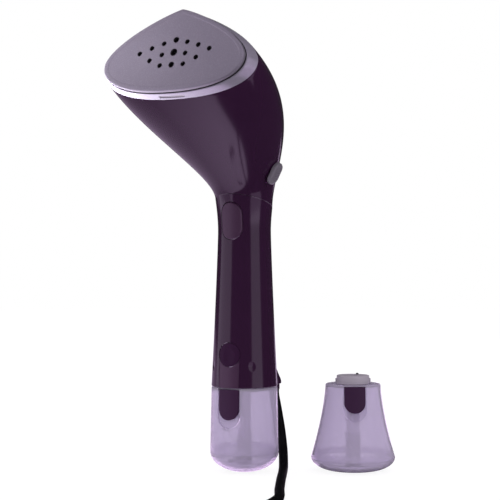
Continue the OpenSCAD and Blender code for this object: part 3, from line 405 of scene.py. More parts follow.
def spin(profile: Sequence[Point2], steps: int, closed: bool = True) -> Skin:
    """Turns a profile of radius and height about the Z axis.

    Args:
        profile: Radius and height of each corner, in order.
        steps: Steps of the full turn.
        closed: Whether the last corner joins the first.

    Returns:
        The turned skin as a bmesh.
    """
    bm = bmesh.new()
    verts = [bm.verts.new((r, 0, z)) for r, z in profile]
    pairs = list(zip(verts, verts[1:])) + ([(verts[-1], verts[0])] if closed else [])
    edges = [bm.edges.new(pair) for pair in pairs]
    bmesh.ops.spin(
        bm, geom=verts + edges, cent=(0, 0, 0), axis=(0, 0, 1), dvec=(0, 0, 0),
        angle=2 * math.pi, steps=steps, use_merge=True, use_duplicate=False,
    )
    bmesh.ops.remove_doubles(bm, verts=bm.verts, dist=1e-4)
    bmesh.ops.recalc_face_normals(bm, faces=bm.faces)
    return bm


def block(size: Point, centre: Point, round_r: float = 0.0) -> Skin:
    """Makes a block with rounded edges.

    Args:
        size: Its three sides.
        centre: Its middle.
        round_r: Radius of its edges, or 0.

    Returns:
        The block as a bmesh.
    """
    bm = bmesh.new()
    bmesh.ops.create_cube(bm, size=1.0)
    bmesh.ops.scale(bm, vec=size, verts=bm.verts)
    bmesh.ops.translate(bm, vec=centre, verts=bm.verts)
    if round_r:
        bmesh.ops.bevel(bm, geom=list(bm.edges), offset=round_r, segments=3, profile=0.5, affect="EDGES", material=-1)
    return bm


def rod(radius: float, length: float, at: Point, turn: Matrix = Matrix.Identity(4), segments: int = 48) -> Skin:
    """Makes a straight rod.

    Args:
        radius: Its radius.
        length: Its length.
        at: Middle of its first end.
        turn: Turn of its axis from Z.
        segments: Sides of the circle.

    Returns:
        The rod as a bmesh.
    """
    bm = bmesh.new()
    place = Matrix.Translation(at) @ turn @ Matrix.Translation((0, 0, length / 2))
    bmesh.ops.create_cone(
        bm, cap_ends=True, segments=segments, radius1=radius, radius2=radius, depth=length, matrix=place,
    )
    return bm


def moved(bm: Skin, place: Matrix) -> Skin:
    """Moves a skin, and returns it."""
    bmesh.ops.transform(bm, matrix=place, verts=bm.verts)
    return bm


def merge(base: Skin, *parts: Skin) -> Skin:
    """Puts several skins into the first one.

    Args:
        base: The first skin.
        parts: The others, which are freed.

    Returns:
        The first skin, with the others in it.
    """
    for part in parts:
        held = bpy.data.meshes.new("held")
        part.to_mesh(held)
        part.free()
        base.from_mesh(held)
        bpy.data.meshes.remove(held)
    return base


def slot_outline(width: float, length: float, inset: float = 0.0, count: int = 96) -> list[Point2]:
    """Returns the outline of a slot with round ends.

    Args:
        width: Its width.
        length: Its length, along the second coordinate.
        inset: How far the points lie inside it.
        count: Number of points.

    Returns:
        The points about the slot's middle.
    """
    radius, straight = max(width / 2 - inset, 0.02), max((length - width) / 2, 0)
    turns = [2 * math.pi * (k + 0.5) / count for k in range(count)]
    return [(radius * math.cos(a), radius * math.sin(a) + math.copysign(straight, math.sin(a))) for a in turns]


def standing(outline: Iterable[Point2], middle_z: float, depth: Depth) -> Ring:
    """Returns an outline stood up at a height, with its Y by depth at x, z."""
    return [Vector((x, depth(x, middle_z + z), middle_z + z)) for x, z in outline]


def button_skin(width: float, length: float, middle_z: float, face: Depth, back: float, round_r: float) -> Skin:
    """Makes a button with a rounded rim whose face follows a surface.

    Args:
        width: Its width.
        length: Its length.
        middle_z: Height of its middle.
        face: Y of its face at a place x, z.
        back: Y of its flat back.
        round_r: Rounding of the rim.

    Returns:
        The button as a bmesh.
    """
    layers = [(0.0, lambda x, z: back)]
    layers += [(inset, lambda x, z, d=drop: face(x, z) + d) for inset, drop in rounding(round_r)]
    layers += [(inset, face) for inset in steps_between(round_r, width / 2 - 0.05, 14)[1:]]
    return loft([standing(slot_outline(width, length, inset), middle_z, depth) for inset, depth in layers])


class Workshop:
    """Turns skins into finished pieces that ride on the steamer's bodies."""

    def __init__(self, frame: dict, finishes: Finishes) -> None:
        """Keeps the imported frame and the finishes."""
        self.frame = frame
        self.finishes = finishes

    @staticmethod
    def blank(name: str, bm: Skin, paint: Paint) -> Piece:
        """Makes an object, in millimetres still, from a skin.

        Args:
            name: Name of the object.
            bm: The skin, which is freed.
            paint: Its first material.

        Returns:
            The object.
        """
        mesh = bpy.data.meshes.new(name)
        bm.to_mesh(mesh)
        bm.free()
        mesh.materials.append(paint)
        obj = bpy.data.objects.new(name, mesh)
        bpy.context.scene.collection.objects.link(obj)
        return obj

    def make(self, name: str, bm: Skin, finish: str) -> Piece:
        """Makes an object, in millimetres still, from a skin and the name of a finish."""
        return self.blank(name, bm, self.finishes[finish])

    @staticmethod
    def unmake(obj: Piece) -> Skin:
        """Removes an object and keeps its skin.

        Args:
            obj: The object.

        Returns:
            Its skin as a bmesh.
        """
        bm = bmesh.new()
        bm.from_mesh(obj.data)
        bpy.data.objects.remove(obj)
        return bm

    @staticmethod
    def _bake(obj: Piece) -> None:
        """Applies the modifiers of an object to its mesh.

        Args:
            obj: The object.
        """
        dg = bpy.context.evaluated_depsgraph_get()
        dg.update()
        made = bpy.data.meshes.new_from_object(obj.evaluated_get(dg))
        obj.modifiers.clear()
        old = obj.data
        obj.data = made
        bpy.data.meshes.remove(old)

    def combine(self, obj: Piece, tool_skin: Skin, operation: str = "DIFFERENCE", finish: str = "") -> None:
        """Cuts, joins or trims an object with a skin.

        Args:
            obj: The object that is changed.
            tool_skin: The skin that it is combined with.
            operation: DIFFERENCE, UNION or INTERSECT.
            finish: Finish of the faces that the skin leaves, if it isn't the object's.
        """
        tool = self.blank("tool", tool_skin, self.finishes[finish] if finish else obj.data.materials[0])
        modifier = obj.modifiers.new("combine", "BOOLEAN")
        modifier.operation = operation
        modifier.solver = "EXACT"
        modifier.material_mode = "TRANSFER"
        modifier.object = tool
        self._bake(obj)
        mesh = tool.data
        bpy.data.objects.remove(tool)
        bpy.data.meshes.remove(mesh)

    def finish_piece(
        self, obj: Piece, body: str, slot: str, node: str,
        edge: float = 0.0, angle: float = 32.0, move: Matrix = Matrix.Identity(4),
    ) -> Piece:
        """Scales a piece to metres, rounds its edges, shades it and lets it ride.

        Args:
            obj: The piece, in millimetres.
            body: The body that it rides on.
            slot: The record's material slot; not used.
            node: The solid that it replaces.
            edge: Rounding of its sharp edges in millimetres, or 0.
            angle: Angle in degrees from which an edge counts as sharp.
            move: Placement in millimetres, applied first.

        Returns:
            The piece.
        """
        if edge:
            bevel = obj.modifiers.new("edge", "BEVEL")
            bevel.width = edge
            bevel.segments = 2
            bevel.limit_method = "ANGLE"
            bevel.angle_limit = math.radians(angle)
            bevel.use_clamp_overlap = True
            bevel.miter_outer = "MITER_ARC"
            self._bake(obj)
        mesh = obj.data
        mesh.transform(Matrix.Scale(MM, 4) @ move)
        mesh.shade_smooth()
        mesh.set_sharp_from_angle(angle=math.radians(angle))
        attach(obj, body)
        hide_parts(node)
        LOG.info("%s: %d faces, rides on %s", obj.name, len(mesh.polygons), body)
        return obj


# ---------------------------------------------------------------- the steamer


@dataclass
class Handle:
    """The grip, its two shells and what is let into them."""

    shop: Workshop
    waist_r: float = 20.6
    waist_z: float = 36.0
    joint_r: float = 25.7
    joint_z: float = -84.0
    neck_r: float = 22.2
    neck_z: float = 57.75
    seam_tilt: float = math.radians(17)
    seam_gap: float = 0.35
    half_gap: float = 0.04
    crown: float = 9.5
    edge: float = 0.22
    wall: float = 2.2
    trigger_z: float = 44.0
    trigger_w: float = 18.0
    trigger_len: float = 28.5
    trigger_gap: float = 0.5
    trigger_lift: float = 0.8
    trigger_back: float = -15.0
    hinge_r: float = 2.2
    hinge_w: float = 13.8
    hinge_place: Point2 = (-15.5, 13.0)
    release_z: float = -58.6
    release_r: float = 9.2
    release_gap: float = 0.3
    release_back: float = -20.6
    dish_r: float = 25.0
    strip_w: float = 17.6
    strip_depth: float = 0.4
    dimple_r: float = 18.0
    dimple_depth: float = 0.4
    dimple_turn: float = math.radians(44)
    dimple_drop: float = 8.0
    gland_place: Point2 = (11.72, 27.62)
    gland_bore: float = 3.9
    body: str = "steamer"

    def radius(self, z: float) -> float:
        """Returns the handle's radius at a height.

        Args:
            z: The height.

        Returns:
            The radius.
        """
        if z < self.waist_z:
            share = (self.waist_z - z) / (self.waist_z - self.joint_z)
            return self.waist_r + (self.joint_r - self.waist_r) * share**1.2
        share = (z - self.waist_z) / (self.neck_z - self.waist_z)
        return self.waist_r + (self.neck_r - self.waist_r) * share**1.8

    def seam_reach(self, side: int) -> float:
        """Finds the radius where the seam plane meets the handle.

        Args:
            side: 1 in front, -1 at the back.

        Returns:
            The radius.
        """
        reach = self.neck_r
        for _ in range(6):
            reach = self.radius(self.neck_z + side * reach * math.tan(self.seam_tilt))
        return reach

    def skin(self, inset: float, low: float, high: float, steps: int) -> list[Point2]:
        """Returns points of the outline, radius and height, from low to high."""
        return [(self.radius(z) - inset, z) for z in steps_between(low, high, steps)]

    def half(self, name: str, side: int) -> Piece:
        """Turns one half of the hollow grip.

        Args:
            name: Name of the piece.
            side: 1 for the front half, -1 for the rear one.

        Returns:
            The half, in millimetres.
        """
        top = self.neck_z + self.crown
        rim = 0.35
        outer = [(self.joint_r - rim, self.joint_z)] + self.skin(0, self.joint_z + rim, top, 60)
        bm = spin(outer + self.skin(self.wall, self.joint_z, top, 24)[::-1], 160)
        seam = (0, math.sin(self.seam_tilt), math.cos(self.seam_tilt))
        self._trim(bm, (0, 0, self.neck_z - self.seam_gap), seam)
        self._trim(bm, (0, -side * self.half_gap, 0), (0, side, 0))
        return self.shop.make(name, bm, "aubergine_gloss")

    @staticmethod
    def _trim(bm: Skin, point: Point, normal: Point) -> None:
        """Cuts away what lies past a plane and closes the cut.

        Args:
            bm: The skin.
            point: A point of the plane.
            normal: The side that is cut away.
        """
        cut = bmesh.ops.bisect_plane(
            bm, geom=bm.verts[:] + bm.edges[:] + bm.faces[:], dist=1e-5, plane_co=point, plane_no=normal,
            clear_outer=True,
        )
        rim = [g for g in cut["geom_cut"] if isinstance(g, bmesh.types.BMEdge)]
        close = bmesh.ops.bridge_loops if abs(normal[2]) > 0.5 else bmesh.ops.edgeloop_fill
        close(bm, edges=rim)
        bmesh.ops.recalc_face_normals(bm, faces=bm.faces)

    def front(self) -> None:
        """Makes the front shell with its openings for trigger and release button."""
        half = self.half("grip_front", 1)
        half.data.materials.append(self.shop.finishes["aubergine_satin"])
        slot = slot_outline(self.trigger_w + 2 * self.trigger_gap, self.trigger_len + 2 * self.trigger_gap)
        self.shop.combine(half, loft([standing(slot, self.trigger_z, lambda x, z, y=y: y) for y in (-30, -14)]))
        low, high = self.joint_z - 4, self.release_z + 8
        tall = self.release_z - self.joint_z + 1
        strip = block((self.strip_w, 40, tall), (0, -20, self.joint_z - 1 + tall / 2))
        strip = self.shop.make("strip", strip, "aubergine_satin")
        core = [(0, low), (self.joint_r - self.strip_depth, low)]
        core += self.skin(self.strip_depth, low + 0.1, high, 40) + [(0, high)]
        self.shop.combine(strip, spin(core, 160), finish="aubergine_satin")
        self.shop.combine(half, self.shop.unmake(strip), finish="aubergine_satin")
        self.shop.combine(half, rod(self.release_r + self.release_gap, 16, (0, -30, self.release_z), INWARDS, 96))
        dimple_z = self.release_z - self.dimple_drop
        ball_y = -self.radius(dimple_z) - self.dimple_r + self.dimple_depth
        for side in (-1, 1):
            ball = bmesh.new()
            bmesh.ops.create_uvsphere(ball, u_segments=96, v_segments=64, radius=self.dimple_r)
            turn = Matrix.Rotation(side * self.dimple_turn, 4, "Z")
            self.shop.combine(half, moved(ball, turn @ Matrix.Translation((0, ball_y, dimple_z))))
        self.shop.finish_piece(half, self.body, "aubergine", "handle_front", edge=self.edge)

    def rear(self) -> None:
        """Makes the rear shell with the gland that the cord comes out of."""
        half = self.half("grip_rear", -1)
        x, y = self.gland_place
        profile = [
            (0, 13.2), (0.5, 13.1), (1.2, 12.1), (2.2, 9.6), (3.0, 7.6), (3.8, 5.7), (4.5, 4.2), (4.95, 2.9),
            (5.2, 1.5), (5.2, 0.5), (5.0, 0.1), (4.7, 0), (0, 0),
        ]
        gland = moved(spin(profile, 64, closed=False), Matrix.Translation((x, y, self.joint_z)))
        self.shop.combine(half, gland, "UNION")
        self.shop.combine(half, rod(self.gland_bore, 5, (x, y, self.joint_z - 2), segments=64))
        self.shop.finish_piece(half, self.body, "aubergine", "handle_rear", edge=self.edge)

    def trigger(self) -> None:
        """Makes the steam trigger, which follows the grip's front and stands a little proud."""

        def front_face(x: float, z: float) -> float:
            """Returns how far forward the trigger's skin lies."""
            return -math.sqrt((self.radius(z) + self.trigger_lift) ** 2 - x * x)

        bm = button_skin(self.trigger_w, self.trigger_len, self.trigger_z, front_face, self.trigger_back, 1.3)
        y, rise = self.hinge_place
        merge(bm, rod(self.hinge_r, self.hinge_w, (-self.hinge_w / 2, y, self.trigger_z + rise), RIGHTWARDS))
        piece = self.shop.make("steam_button", bm, "aubergine_satin")
        self.shop.finish_piece(piece, "trigger", "trigger_plastic", "steam_trigger", angle=50)

    def release(self) -> None:
        """Makes the dished button that frees the tank."""
        front = self.radius(self.release_z)

        def front_face(x: float, z: float) -> float:
            """Works out the button's dished skin.

            Args:
                x: Place across the button.
                z: Height of the place.

            Returns:
                Its Y there.
            """
            shell = -math.sqrt((self.radius(z) - 0.1) ** 2 - x * x)
            dish = 1 - front - self.dish_r + math.sqrt(self.dish_r**2 - x * x - (z - self.release_z) ** 2)
            return 0.5 * (shell + dish + math.sqrt((shell - dish) ** 2 + 0.01))

        bm = button_skin(2 * self.release_r, 2 * self.release_r, self.release_z, front_face, self.release_back, 0.5)
        for side in (-1, 1):
            merge(bm, block((4.6, 3.2, 6), (side * (self.release_r - 1.0), -19.3, self.release_z), 0.3))
        merge(bm, rod(1.2, 3.4, (0, -20.7, self.release_z), INWARDS))
        piece = self.shop.make("release_dish", bm, "aubergine_dish")
        self.shop.finish_piece(piece, "button", "aubergine", "release_button", angle=40)

    def build(self) -> None:
        """Makes every piece of the grip."""
        self.front()
        self.rear()
        self.trigger()
        self.release()


@dataclass
class SteamHead:
    """The head: shell, bezel, steam plate and thumb slider."""

    shop: Workshop
    grip: Handle
    half_w: float = 59.5
    up: float = 35.0
    down: float = 30.5
    low: float = 6.0
    tilt: float = math.radians(20)
    reach: float = 101.0
    plate_z: float = 163.6
    rim_depth: float = 12.5
    flare_side: float = 5.0
    flare_end: float = 1.0
    flare_tip: float = 3.2
    lip_front: float = 4.2
    bezel_t: float = 2.0
    front_pull: Point2 = (8, 30)
    back_pull: Point2 = (37, 130)
    rim_leans: Point2 = (38, 3.5)
    recess_size: Point = (21, 1.6, 3.0)
    recess_place: Point2 = (1.0, 8.6)
    hole_pitch: float = 9.9
    hole_r: float = 1.6
    end_hole_r: float = 2.0
    mid_hole_r: float = 2.5
    base_power: Point2 = (2.3, 2.3)
    tip_power: Point2 = (1.15, 1.62)
    points: int = 192
    slider_lean: float = math.radians(27.5)
    slider_place: Point = (30.4, -9.8, 81.0)
    slider_size: Point2 = (12, 18)
    slider_slot: Point2 = (5.4, 8.4)
    slider_travel: float = 3.0
    body: str = "steamer"

    def powers(self, angle: float, t: float) -> Point2:
        """Returns the powers across and along the plate, from a circle at t = 0 to its own shape at 1."""
        across, along = self.tip_power if math.sin(angle) >= 0 else self.base_power
        return (2 / (2 + (across - 2) * t), 2 / (2 + (along - 2) * t))

    def outline_at(self, angle: float, side: float, end: float, tip: float) -> Point2:
        """Finds a point of the plate's outline.

        Args:
            angle: Angle of the point, 0 at the right.
            side: How much wider each side is.
            end: How much lower the lower end is.
            tip: How much higher the tip is.

        Returns:
            The point, across and along the plate.
        """
        across, along = self.powers(angle, 1)
        high = self.up + self.low + tip if math.sin(angle) >= 0 else self.down - self.low + end
        x = (self.half_w + side) * signed_pow(math.cos(angle), across)
        return (x, high * signed_pow(math.sin(angle), along) - self.low)

    def plate_point(self, v: float, depth: float) -> Point2:
        """Finds a point of the plate.

        Args:
            v: Its height along the plate.
            depth: How far it lies behind the face.

        Returns:
            Its y and z.
        """
        return (
            -self.reach + v * math.sin(self.tilt) + depth * math.cos(self.tilt),
            self.plate_z + v * math.cos(self.tilt) - depth * math.sin(self.tilt),
        )

    def plate_ring(self, side: float, end: float, depth: float, tip: float) -> Ring:
        """Makes a ring of the plate's shape at a depth, grown at its sides, its lower end and its tip."""
        places = [self.outline_at(2 * math.pi * k / self.points, side, end, tip) for k in range(self.points)]
        return [Vector((x, *self.plate_point(v, depth))) for x, v in places]

    def even_rings(self, sides: Iterable[Point2]) -> list[Ring]:
        """Returns rings of the plate's shape, each grown evenly by the first number, at the second's depth."""
        return [self.plate_ring(grown, grown, depth, grown) for grown, depth in sides]

    @staticmethod
    def _curve(knots: Sequence[Vector], t: float) -> Vector:
        """Returns the point at t on a curve with four knots."""
        a, b, c, d = knots
        return (1 - t) ** 3 * a + 3 * (1 - t) ** 2 * t * b + 3 * (1 - t) * t * t * c + t**3 * d

    def profiles(self) -> tuple[list[Vector], list[Vector]]:
        """Works out the front and the back profile.

        Returns:
            The knots of each, as y and z.
        """

        def lean(degrees: float) -> Vector:
            """Returns the direction that leans from the plate's normal towards its tip."""
            angle = self.tilt + math.radians(degrees)
            return Vector((-math.cos(angle), math.sin(angle)))

        grip = self.grip
        slope = math.tan(grip.seam_tilt)
        front_r, back_r = grip.seam_reach(1), grip.seam_reach(-1)
        front_start = Vector((-front_r, grip.neck_z + front_r * slope))
        back_start = Vector((back_r, grip.neck_z - back_r * slope))
        front_end = Vector(self.plate_point(-self.down - self.flare_end, self.rim_depth))
        back_end = Vector(self.plate_point(self.up + self.flare_tip, self.rim_depth))
        front_lean, back_lean = (lean(degrees) for degrees in self.rim_leans)
        rise, pull = self.front_pull
        front = [front_start, front_start + Vector((0, rise)), front_end - pull * front_lean, front_end]
        rise, pull = self.back_pull
        back = [back_start, back_start + Vector((0, rise)), back_end - pull * back_lean, back_end]
        return front, back

    def head_ring(self, t: float, inset: float) -> Ring:
        """Makes a section of the head.

        Args:
            t: Its place, 0 at the neck and 1 at the rim.
            inset: How far it lies inside the skin.

        Returns:
            The ring.
        """
        front_knots, back_knots = self.profiles()
        front, back = self._curve(front_knots, t), self._curve(back_knots, t)
        run = back - front
        along = run.normalized()
        below = self.down - self.low + self.flare_end
        low_share = below / (self.down + self.up + self.flare_end + self.flare_tip)
        share = 0.5 + (low_share - 0.5) * t * t
        middle = front + share * run
        half = self.grip.neck_r + (self.half_w + self.flare_side - self.grip.neck_r) * smoothstep(t) - inset
        ring = []
        for k in range(self.points):
            angle = 2 * math.pi * k / self.points
            across, length = self.powers(angle, t)
            deep = (1 - share if math.sin(angle) >= 0 else share) * run.length - inset
            at = middle + deep * signed_pow(math.sin(angle), length) * along
            ring.append(Vector((half * signed_pow(math.cos(angle), across), at.x, at.y)))
        return ring

    def slider_frame(self) -> Matrix:
        """Returns the frame of the thumb slider, Z outwards and Y up its slope."""
        lean = Matrix.Rotation(QUARTER + self.slider_lean, 4, "Y")
        return Matrix.Translation(self.slider_place) @ lean @ Matrix.Rotation(QUARTER, 4, "Z")

    def shell(self) -> None:
        """Makes the hollow shell from neck to rim."""
        outside = [(0, 0.5), (0.0015, 0.2), (0.004, 0.05)]
        outside += [(0.008 + 0.986 * k / 70, 0.0) for k in range(71)] + [(0.997, 0.08), (1, 0.4)]
        inside = [(k / 30, self.grip.wall) for k in range(30, -1, -1)]
        skin = loft([self.head_ring(t, inset) for t, inset in outside + inside], closed=True)
        piece = self.shop.make("head_hood", skin, "aubergine_gloss")
        outline = slot_outline(*self.slider_slot, count=48)
        slot = loft([[Vector((x, y + self.slider_travel / 2, height)) for x, y in outline] for height in (-8, 8)])
        self.shop.combine(piece, moved(slot, self.slider_frame()))
        self.shop.finish_piece(piece, self.body, "aubergine", "head_shell", angle=35)

    def bezel(self) -> None:
        """Makes the pearl ring between plate and shell."""

        def ring(depth: float, share: float, inset: float) -> Ring:
            """Makes a ring of the bezel.

            Args:
                depth: How far it lies behind the plate's face.
                share: Its share of the full flare.
                inset: How far it lies inside the skin.

            Returns:
                The ring.
            """
            flares = (self.flare_side, self.flare_end, self.flare_tip)
            side, end, tip = (0.6 + (flare - 0.6) * share - inset for flare in flares)
            return self.plate_ring(side, end, depth, tip)

        front, back = self.lip_front, self.rim_depth
        layers = [(front + 0.02, 0, 1.1), (front, 0, 0.7), (front + 0.08, 0, 0.35)]
        layers += [(front + 0.3, 0.02, 0.1), (front + 0.7, 0.08, 0)]
        for k in range(2, 10):
            layers.append((front + (back - front) * k / 10, k / 10 + 0.03 * math.sin(math.pi * k / 10), 0))
        layers += [(back - 0.25, 0.98, 0), (back, 1, 0.3), (back, 1, self.bezel_t)]
        layers += [(front + 2, 0.2, self.bezel_t), (front + 2, 0.2, 4.5), (front, 0, 3.8)]
        piece = self.shop.make("pearl_ring", loft([ring(*layer) for layer in layers], closed=True), "pearl_bezel")
        past, depth = self.recess_place
        place = Matrix.Translation((0, *self.plate_point(-self.down - past, depth)))
        turn = Matrix.Rotation(-self.tilt - QUARTER, 4, "X")
        recess = moved(block(self.recess_size, (0, 0, 0), 0.35), place @ turn)
        # the recess's faces take the darker slider grey as painted shade
        self.shop.combine(piece, recess, finish="slider_grey")
        self.shop.finish_piece(piece, self.body, "bezel_plastic", "head_bezel", angle=35)

    def plate(self) -> None:
        """Makes the coated steam plate with its steam holes."""
        sides = [
            (-0.5, 3.0), (-0.15, 2.9), (0, 2.6), (0, 0.9), (-0.12, 0.5), (-0.4, 0.2), (-0.85, 0.03), (-1.3, 0),
            (-3.4, 0), (-3.7, 0.05), (-3.95, 0.14), (-4.2, 0.16),
        ]
        piece = self.shop.make("sole_plate", loft(self.even_rings(sides)), "plate_coating")
        small, end, mid = self.hole_r, self.end_hole_r, self.mid_hole_r
        holes = [(u, (1, 0.76, 0.46, 0.09)[abs(u)], small if u else end) for u in range(-3, 4)]
        holes += [(u, -(0, 0.14, 0.54)[abs(u)], small if u else mid) for u in range(-2, 3)]
        holes += [(u, -1, small if u else end) for u in range(-1, 2)]
        face = Matrix.Translation((0, -self.reach, self.plate_z)) @ Matrix.Rotation(QUARTER - self.tilt, 4, "X")
        for u, v, radius in holes:
            profile = [(0, -5), (radius, -5), (radius, -0.7), (radius + 0.15, -0.35), (radius + 0.5, 0.0)]
            drill = spin(profile + [(radius + 0.6, 1), (0, 1)], 32, closed=False)
            spot = Matrix.Translation((u * self.hole_pitch, v * self.hole_pitch, 0))
            # each hole's bore and rim take the near-black finish as painted shade
            self.shop.combine(piece, moved(drill, face @ spot), finish="soot_dark")
        self.shop.finish_piece(piece, self.body, "plate_coating", "steam_plate", angle=30)

    def seal(self) -> None:
        """Makes the dark seal between plate and bezel."""
        sides = [
            (-0.8, 3.0), (0.1, 3.05), (0.3, 3.3), (0.3, 3.9), (0.1, 4.18), (-0.8, 4.2), (-3.2, 4.2), (-3.2, 3.0),
        ]
        piece = self.shop.make("plate_gasket", loft(self.even_rings(sides), closed=True), "rubber_black")
        self.shop.finish_piece(piece, self.body, "rubber_dark", "plate_seal")

    def slider(self) -> None:
        """Makes the grey thumb slider with its stem."""
        layers = [
            (0.5, 1.0), (0.15, 1.15), (0, 1.6), (0, 3.0), (0.15, 3.6), (0.6, 4.1), (1.2, 4.34), (1.9, 4.4),
            (2.6, 4.32), (3.4, 4.2), (4.4, 4.14), (5.6, 4.12),
        ]
        bm = loft([[Vector((x, y, z)) for x, y in slot_outline(*self.slider_size, inset)] for inset, z in layers])
        merge(bm, rod(2.2, 6.6, (0, 0, -5)), rod(3.4, 1.2, (0, 0, -5.4)))
        for k in range(-2, 3):
            merge(bm, block((6.4, 0.7, 0.6), (0, k * 2.2, 4.25), 0.25))
        piece = self.shop.make("thumb_knob", moved(bm, self.slider_frame()), "slider_grey")
        self.shop.finish_piece(piece, "slider", "slider_grey", "thumb_slider", angle=40)

    def build(self) -> None:
        """Makes every piece of the head."""
        self.shell()
        self.bezel()
        self.seal()
        self.plate()
        self.slider()


@dataclass
class WaterTank:
    """A clear tank with its collar and filling door."""

    shop: Workshop
    label: str
    body: str
    door_body: str
    prefix: str
    door_node: str
    top_r: float
    max_r: float
    flare: float
    foot_h: float
    foot_r: float
    lean: float
    door_len: float
    door_w: float
    top: float
    collar_lift: float
    place: Matrix
    floor: float = -150.6
    wall: float = 1.8
    weld_rise: float = 1.5
    recess_len: float = 6.4
    recess_depth: float = 1.5
    port_r: float = 5.1
    collar_z: float = -84.3
    collar_h: float = 6.5
    door_rise: float = 1.45
    door_back: float = 1.15
    pin_inset: float = 1.8
    pin_drop: float = 2.4
    front_sweep: float = 2.3
    back_sweep: float = 1.4
    pocket_gap: float = 0.8
    bed_rim: float = 2.5
    lip_h: float = 5.0
    bore_r: float = 3.5
    vent_place: Point2 = (3.8, 6.0)
    bayonet: Point = (27.5, 3, 3)

    def radius(self, z: float) -> float:
        """Returns the outer radius at a height.

        Args:
            z: The height.

        Returns:
            The radius.
        """
        corner = self.floor + self.foot_h
        if z >= corner:
            return self.top_r + (self.max_r - self.top_r) * ((self.top - z) / (self.top - corner)) ** self.flare
        return self.foot_r + (self.max_r - self.foot_r) * math.sqrt(max(0.0, 1 - ((corner - z) / self.foot_h) ** 2))

    @property
    def weld(self) -> float:
        """Height of the weld between tank and foot."""
        return self.floor + self.foot_h - self.weld_rise

    def side(self, inset: float, low: float, high: float, steps: int) -> list[Point2]:
        """Returns points of the wall, radius and height, from low to high."""
        return [(self.radius(z) - inset, z) for z in steps_between(low, high, steps)]

    def door_frame(self) -> Matrix:
        """Returns the frame of the door's hinge pin, Y inwards."""
        hinge = Matrix.Translation((0, self.pin_inset - self.top_r, self.top - self.pin_drop))
        return hinge @ Matrix.Rotation(-self.lean, 4, "X")

    @staticmethod
    def door_ring(width: float, drop: float, rise: float, inset: float, depth: Depth) -> Ring:
        """Makes a ring of the door's shape: square above, round below.

        Args:
            width: Width of the door.
            drop: How far it reaches below the hinge.
            rise: How far it reaches above the hinge.
            inset: How far the ring lies inside.
            depth: Y of the ring at x, z.

        Returns:
            The ring, in the door's frame.
        """
        r = max(width / 2 - inset, 0.05)
        low = -drop + width / 2
        high = max(rise - inset, low + 0.1)
        places = [(r * math.cos(a), low + r * math.sin(a)) for a in steps_between(-math.pi, 0.0, 72)]
        places += [(r, z) for z in steps_between(low, high, 16)[1:]]
        places += [(x, high) for x in steps_between(r, -r, 16)[1:]]
        places += [(-r, z) for z in steps_between(high, low, 16)[1:-1]]
        return [Vector((x, depth(x, z), z)) for x, z in places]

    def prism(self, width: float, drop: float, deep: float) -> Skin:
        """Makes a straight prism of the door's shape that reaches out past the wall and the top.

        Args:
            width: Its width.
            drop: How far it reaches below the hinge.
            deep: How far it reaches inwards from the hinge.

        Returns:
            The prism, in the tank's frame.
        """
        past = 9
        rings = [self.door_ring(width, drop, past, 0, lambda x, z, d=d: d) for d in (-past, deep)]
        return moved(loft(rings), self.door_frame())

    def finish(self, piece: Piece, slot: str, part: str, **how: float) -> None:
        """Finishes a piece of the tank's body and moves it to the tank's place."""
        self.shop.finish_piece(piece, self.body, slot, self.prefix + part, move=self.place, **how)

    def shell(self) -> None:
        """Makes the clear upper part with its door pocket."""
        low, high = self.weld, self.top
        outer = self.side(0, low, high - 1.4, 40)
        r = outer[-1][0]
        outer += [(r - 0.08, high - 0.9), (r - 0.35, high - 0.4), (r - 0.8, high - 0.1), (r - 1.4, high)]
        inner = [(9.6, high), (9.6, high - 2), (r - 3.0, high - 2), (r - 2.2, high - 2.3), (r - 1.85, high - 3)]
        inner += self.side(self.wall, high - 3, low, 36)[1:]
        piece = self.shop.make(f"{self.label}_shell", spin(outer + inner, 144), "tank_clear")
        # a hair inside the wall, so that no faces coincide
        hair = 0.03
        core = [(0, low + hair)] + self.side(hair, low + hair, high - 1.4, 40)
        core += [(r - 0.8 - hair, high - 0.1 - hair), (r - 1.4 - hair, high - hair), (0, high - hair)]
        solid = self.shop.make("solid", spin(core, 144, closed=False), "tank_clear")
        recess = self.door_len + self.recess_len
        bed = self.prism(self.door_w + 2 * self.bed_rim, recess + 2, self.recess_depth + self.wall)
        self.shop.combine(solid, bed, "INTERSECT")
        self.shop.combine(piece, self.shop.unmake(solid), "UNION")
        self.shop.combine(piece, self.prism(self.door_w + 2 * self.pocket_gap, recess, self.recess_depth))
        port = rod(self.port_r, 12, (0, -2, -11.5), INWARDS, 64)
        self.shop.combine(piece, moved(port, self.door_frame()))
        self.finish(piece, "tank_clear", "shell", edge=0.15, angle=30)

    def foot(self) -> None:
        """Makes the clear foot with the lip that is welded into the tank."""
        weld, floor, wall = self.weld, self.floor, self.wall
        angles = steps_between(0.0, QUARTER, 24)
        spread, corner = self.max_r - self.foot_r, floor + self.foot_h
        arc = [(self.foot_r + spread * math.sin(a), corner - self.foot_h * math.cos(a)) for a in angles]
        arc = [(r, z) for r, z in arc if z < weld]
        inner = [(max(r - wall, 0.5), z + wall * math.cos(a)) for (r, z), a in zip(arc, angles)]
        inner = [(r, z) for r, z in inner if z < weld - wall][::-1]
        outer = [(0, floor)] + arc + [(self.radius(weld), weld)]
        lip_z = weld + self.lip_h
        lip_r = self.radius(lip_z) - wall
        lip = [(self.radius(weld) - wall - 0.1, weld), (lip_r - 0.1, lip_z)]
        lip += [(lip_r - 1.4, lip_z), (lip_r - 1.4, weld - self.weld_rise)]
        bm = spin(outer + lip + inner + [(0, floor + wall)], 144, closed=False)
        self.finish(self.shop.make(f"{self.label}_foot", bm, "tank_clear"), "tank_clear", "base", angle=30)

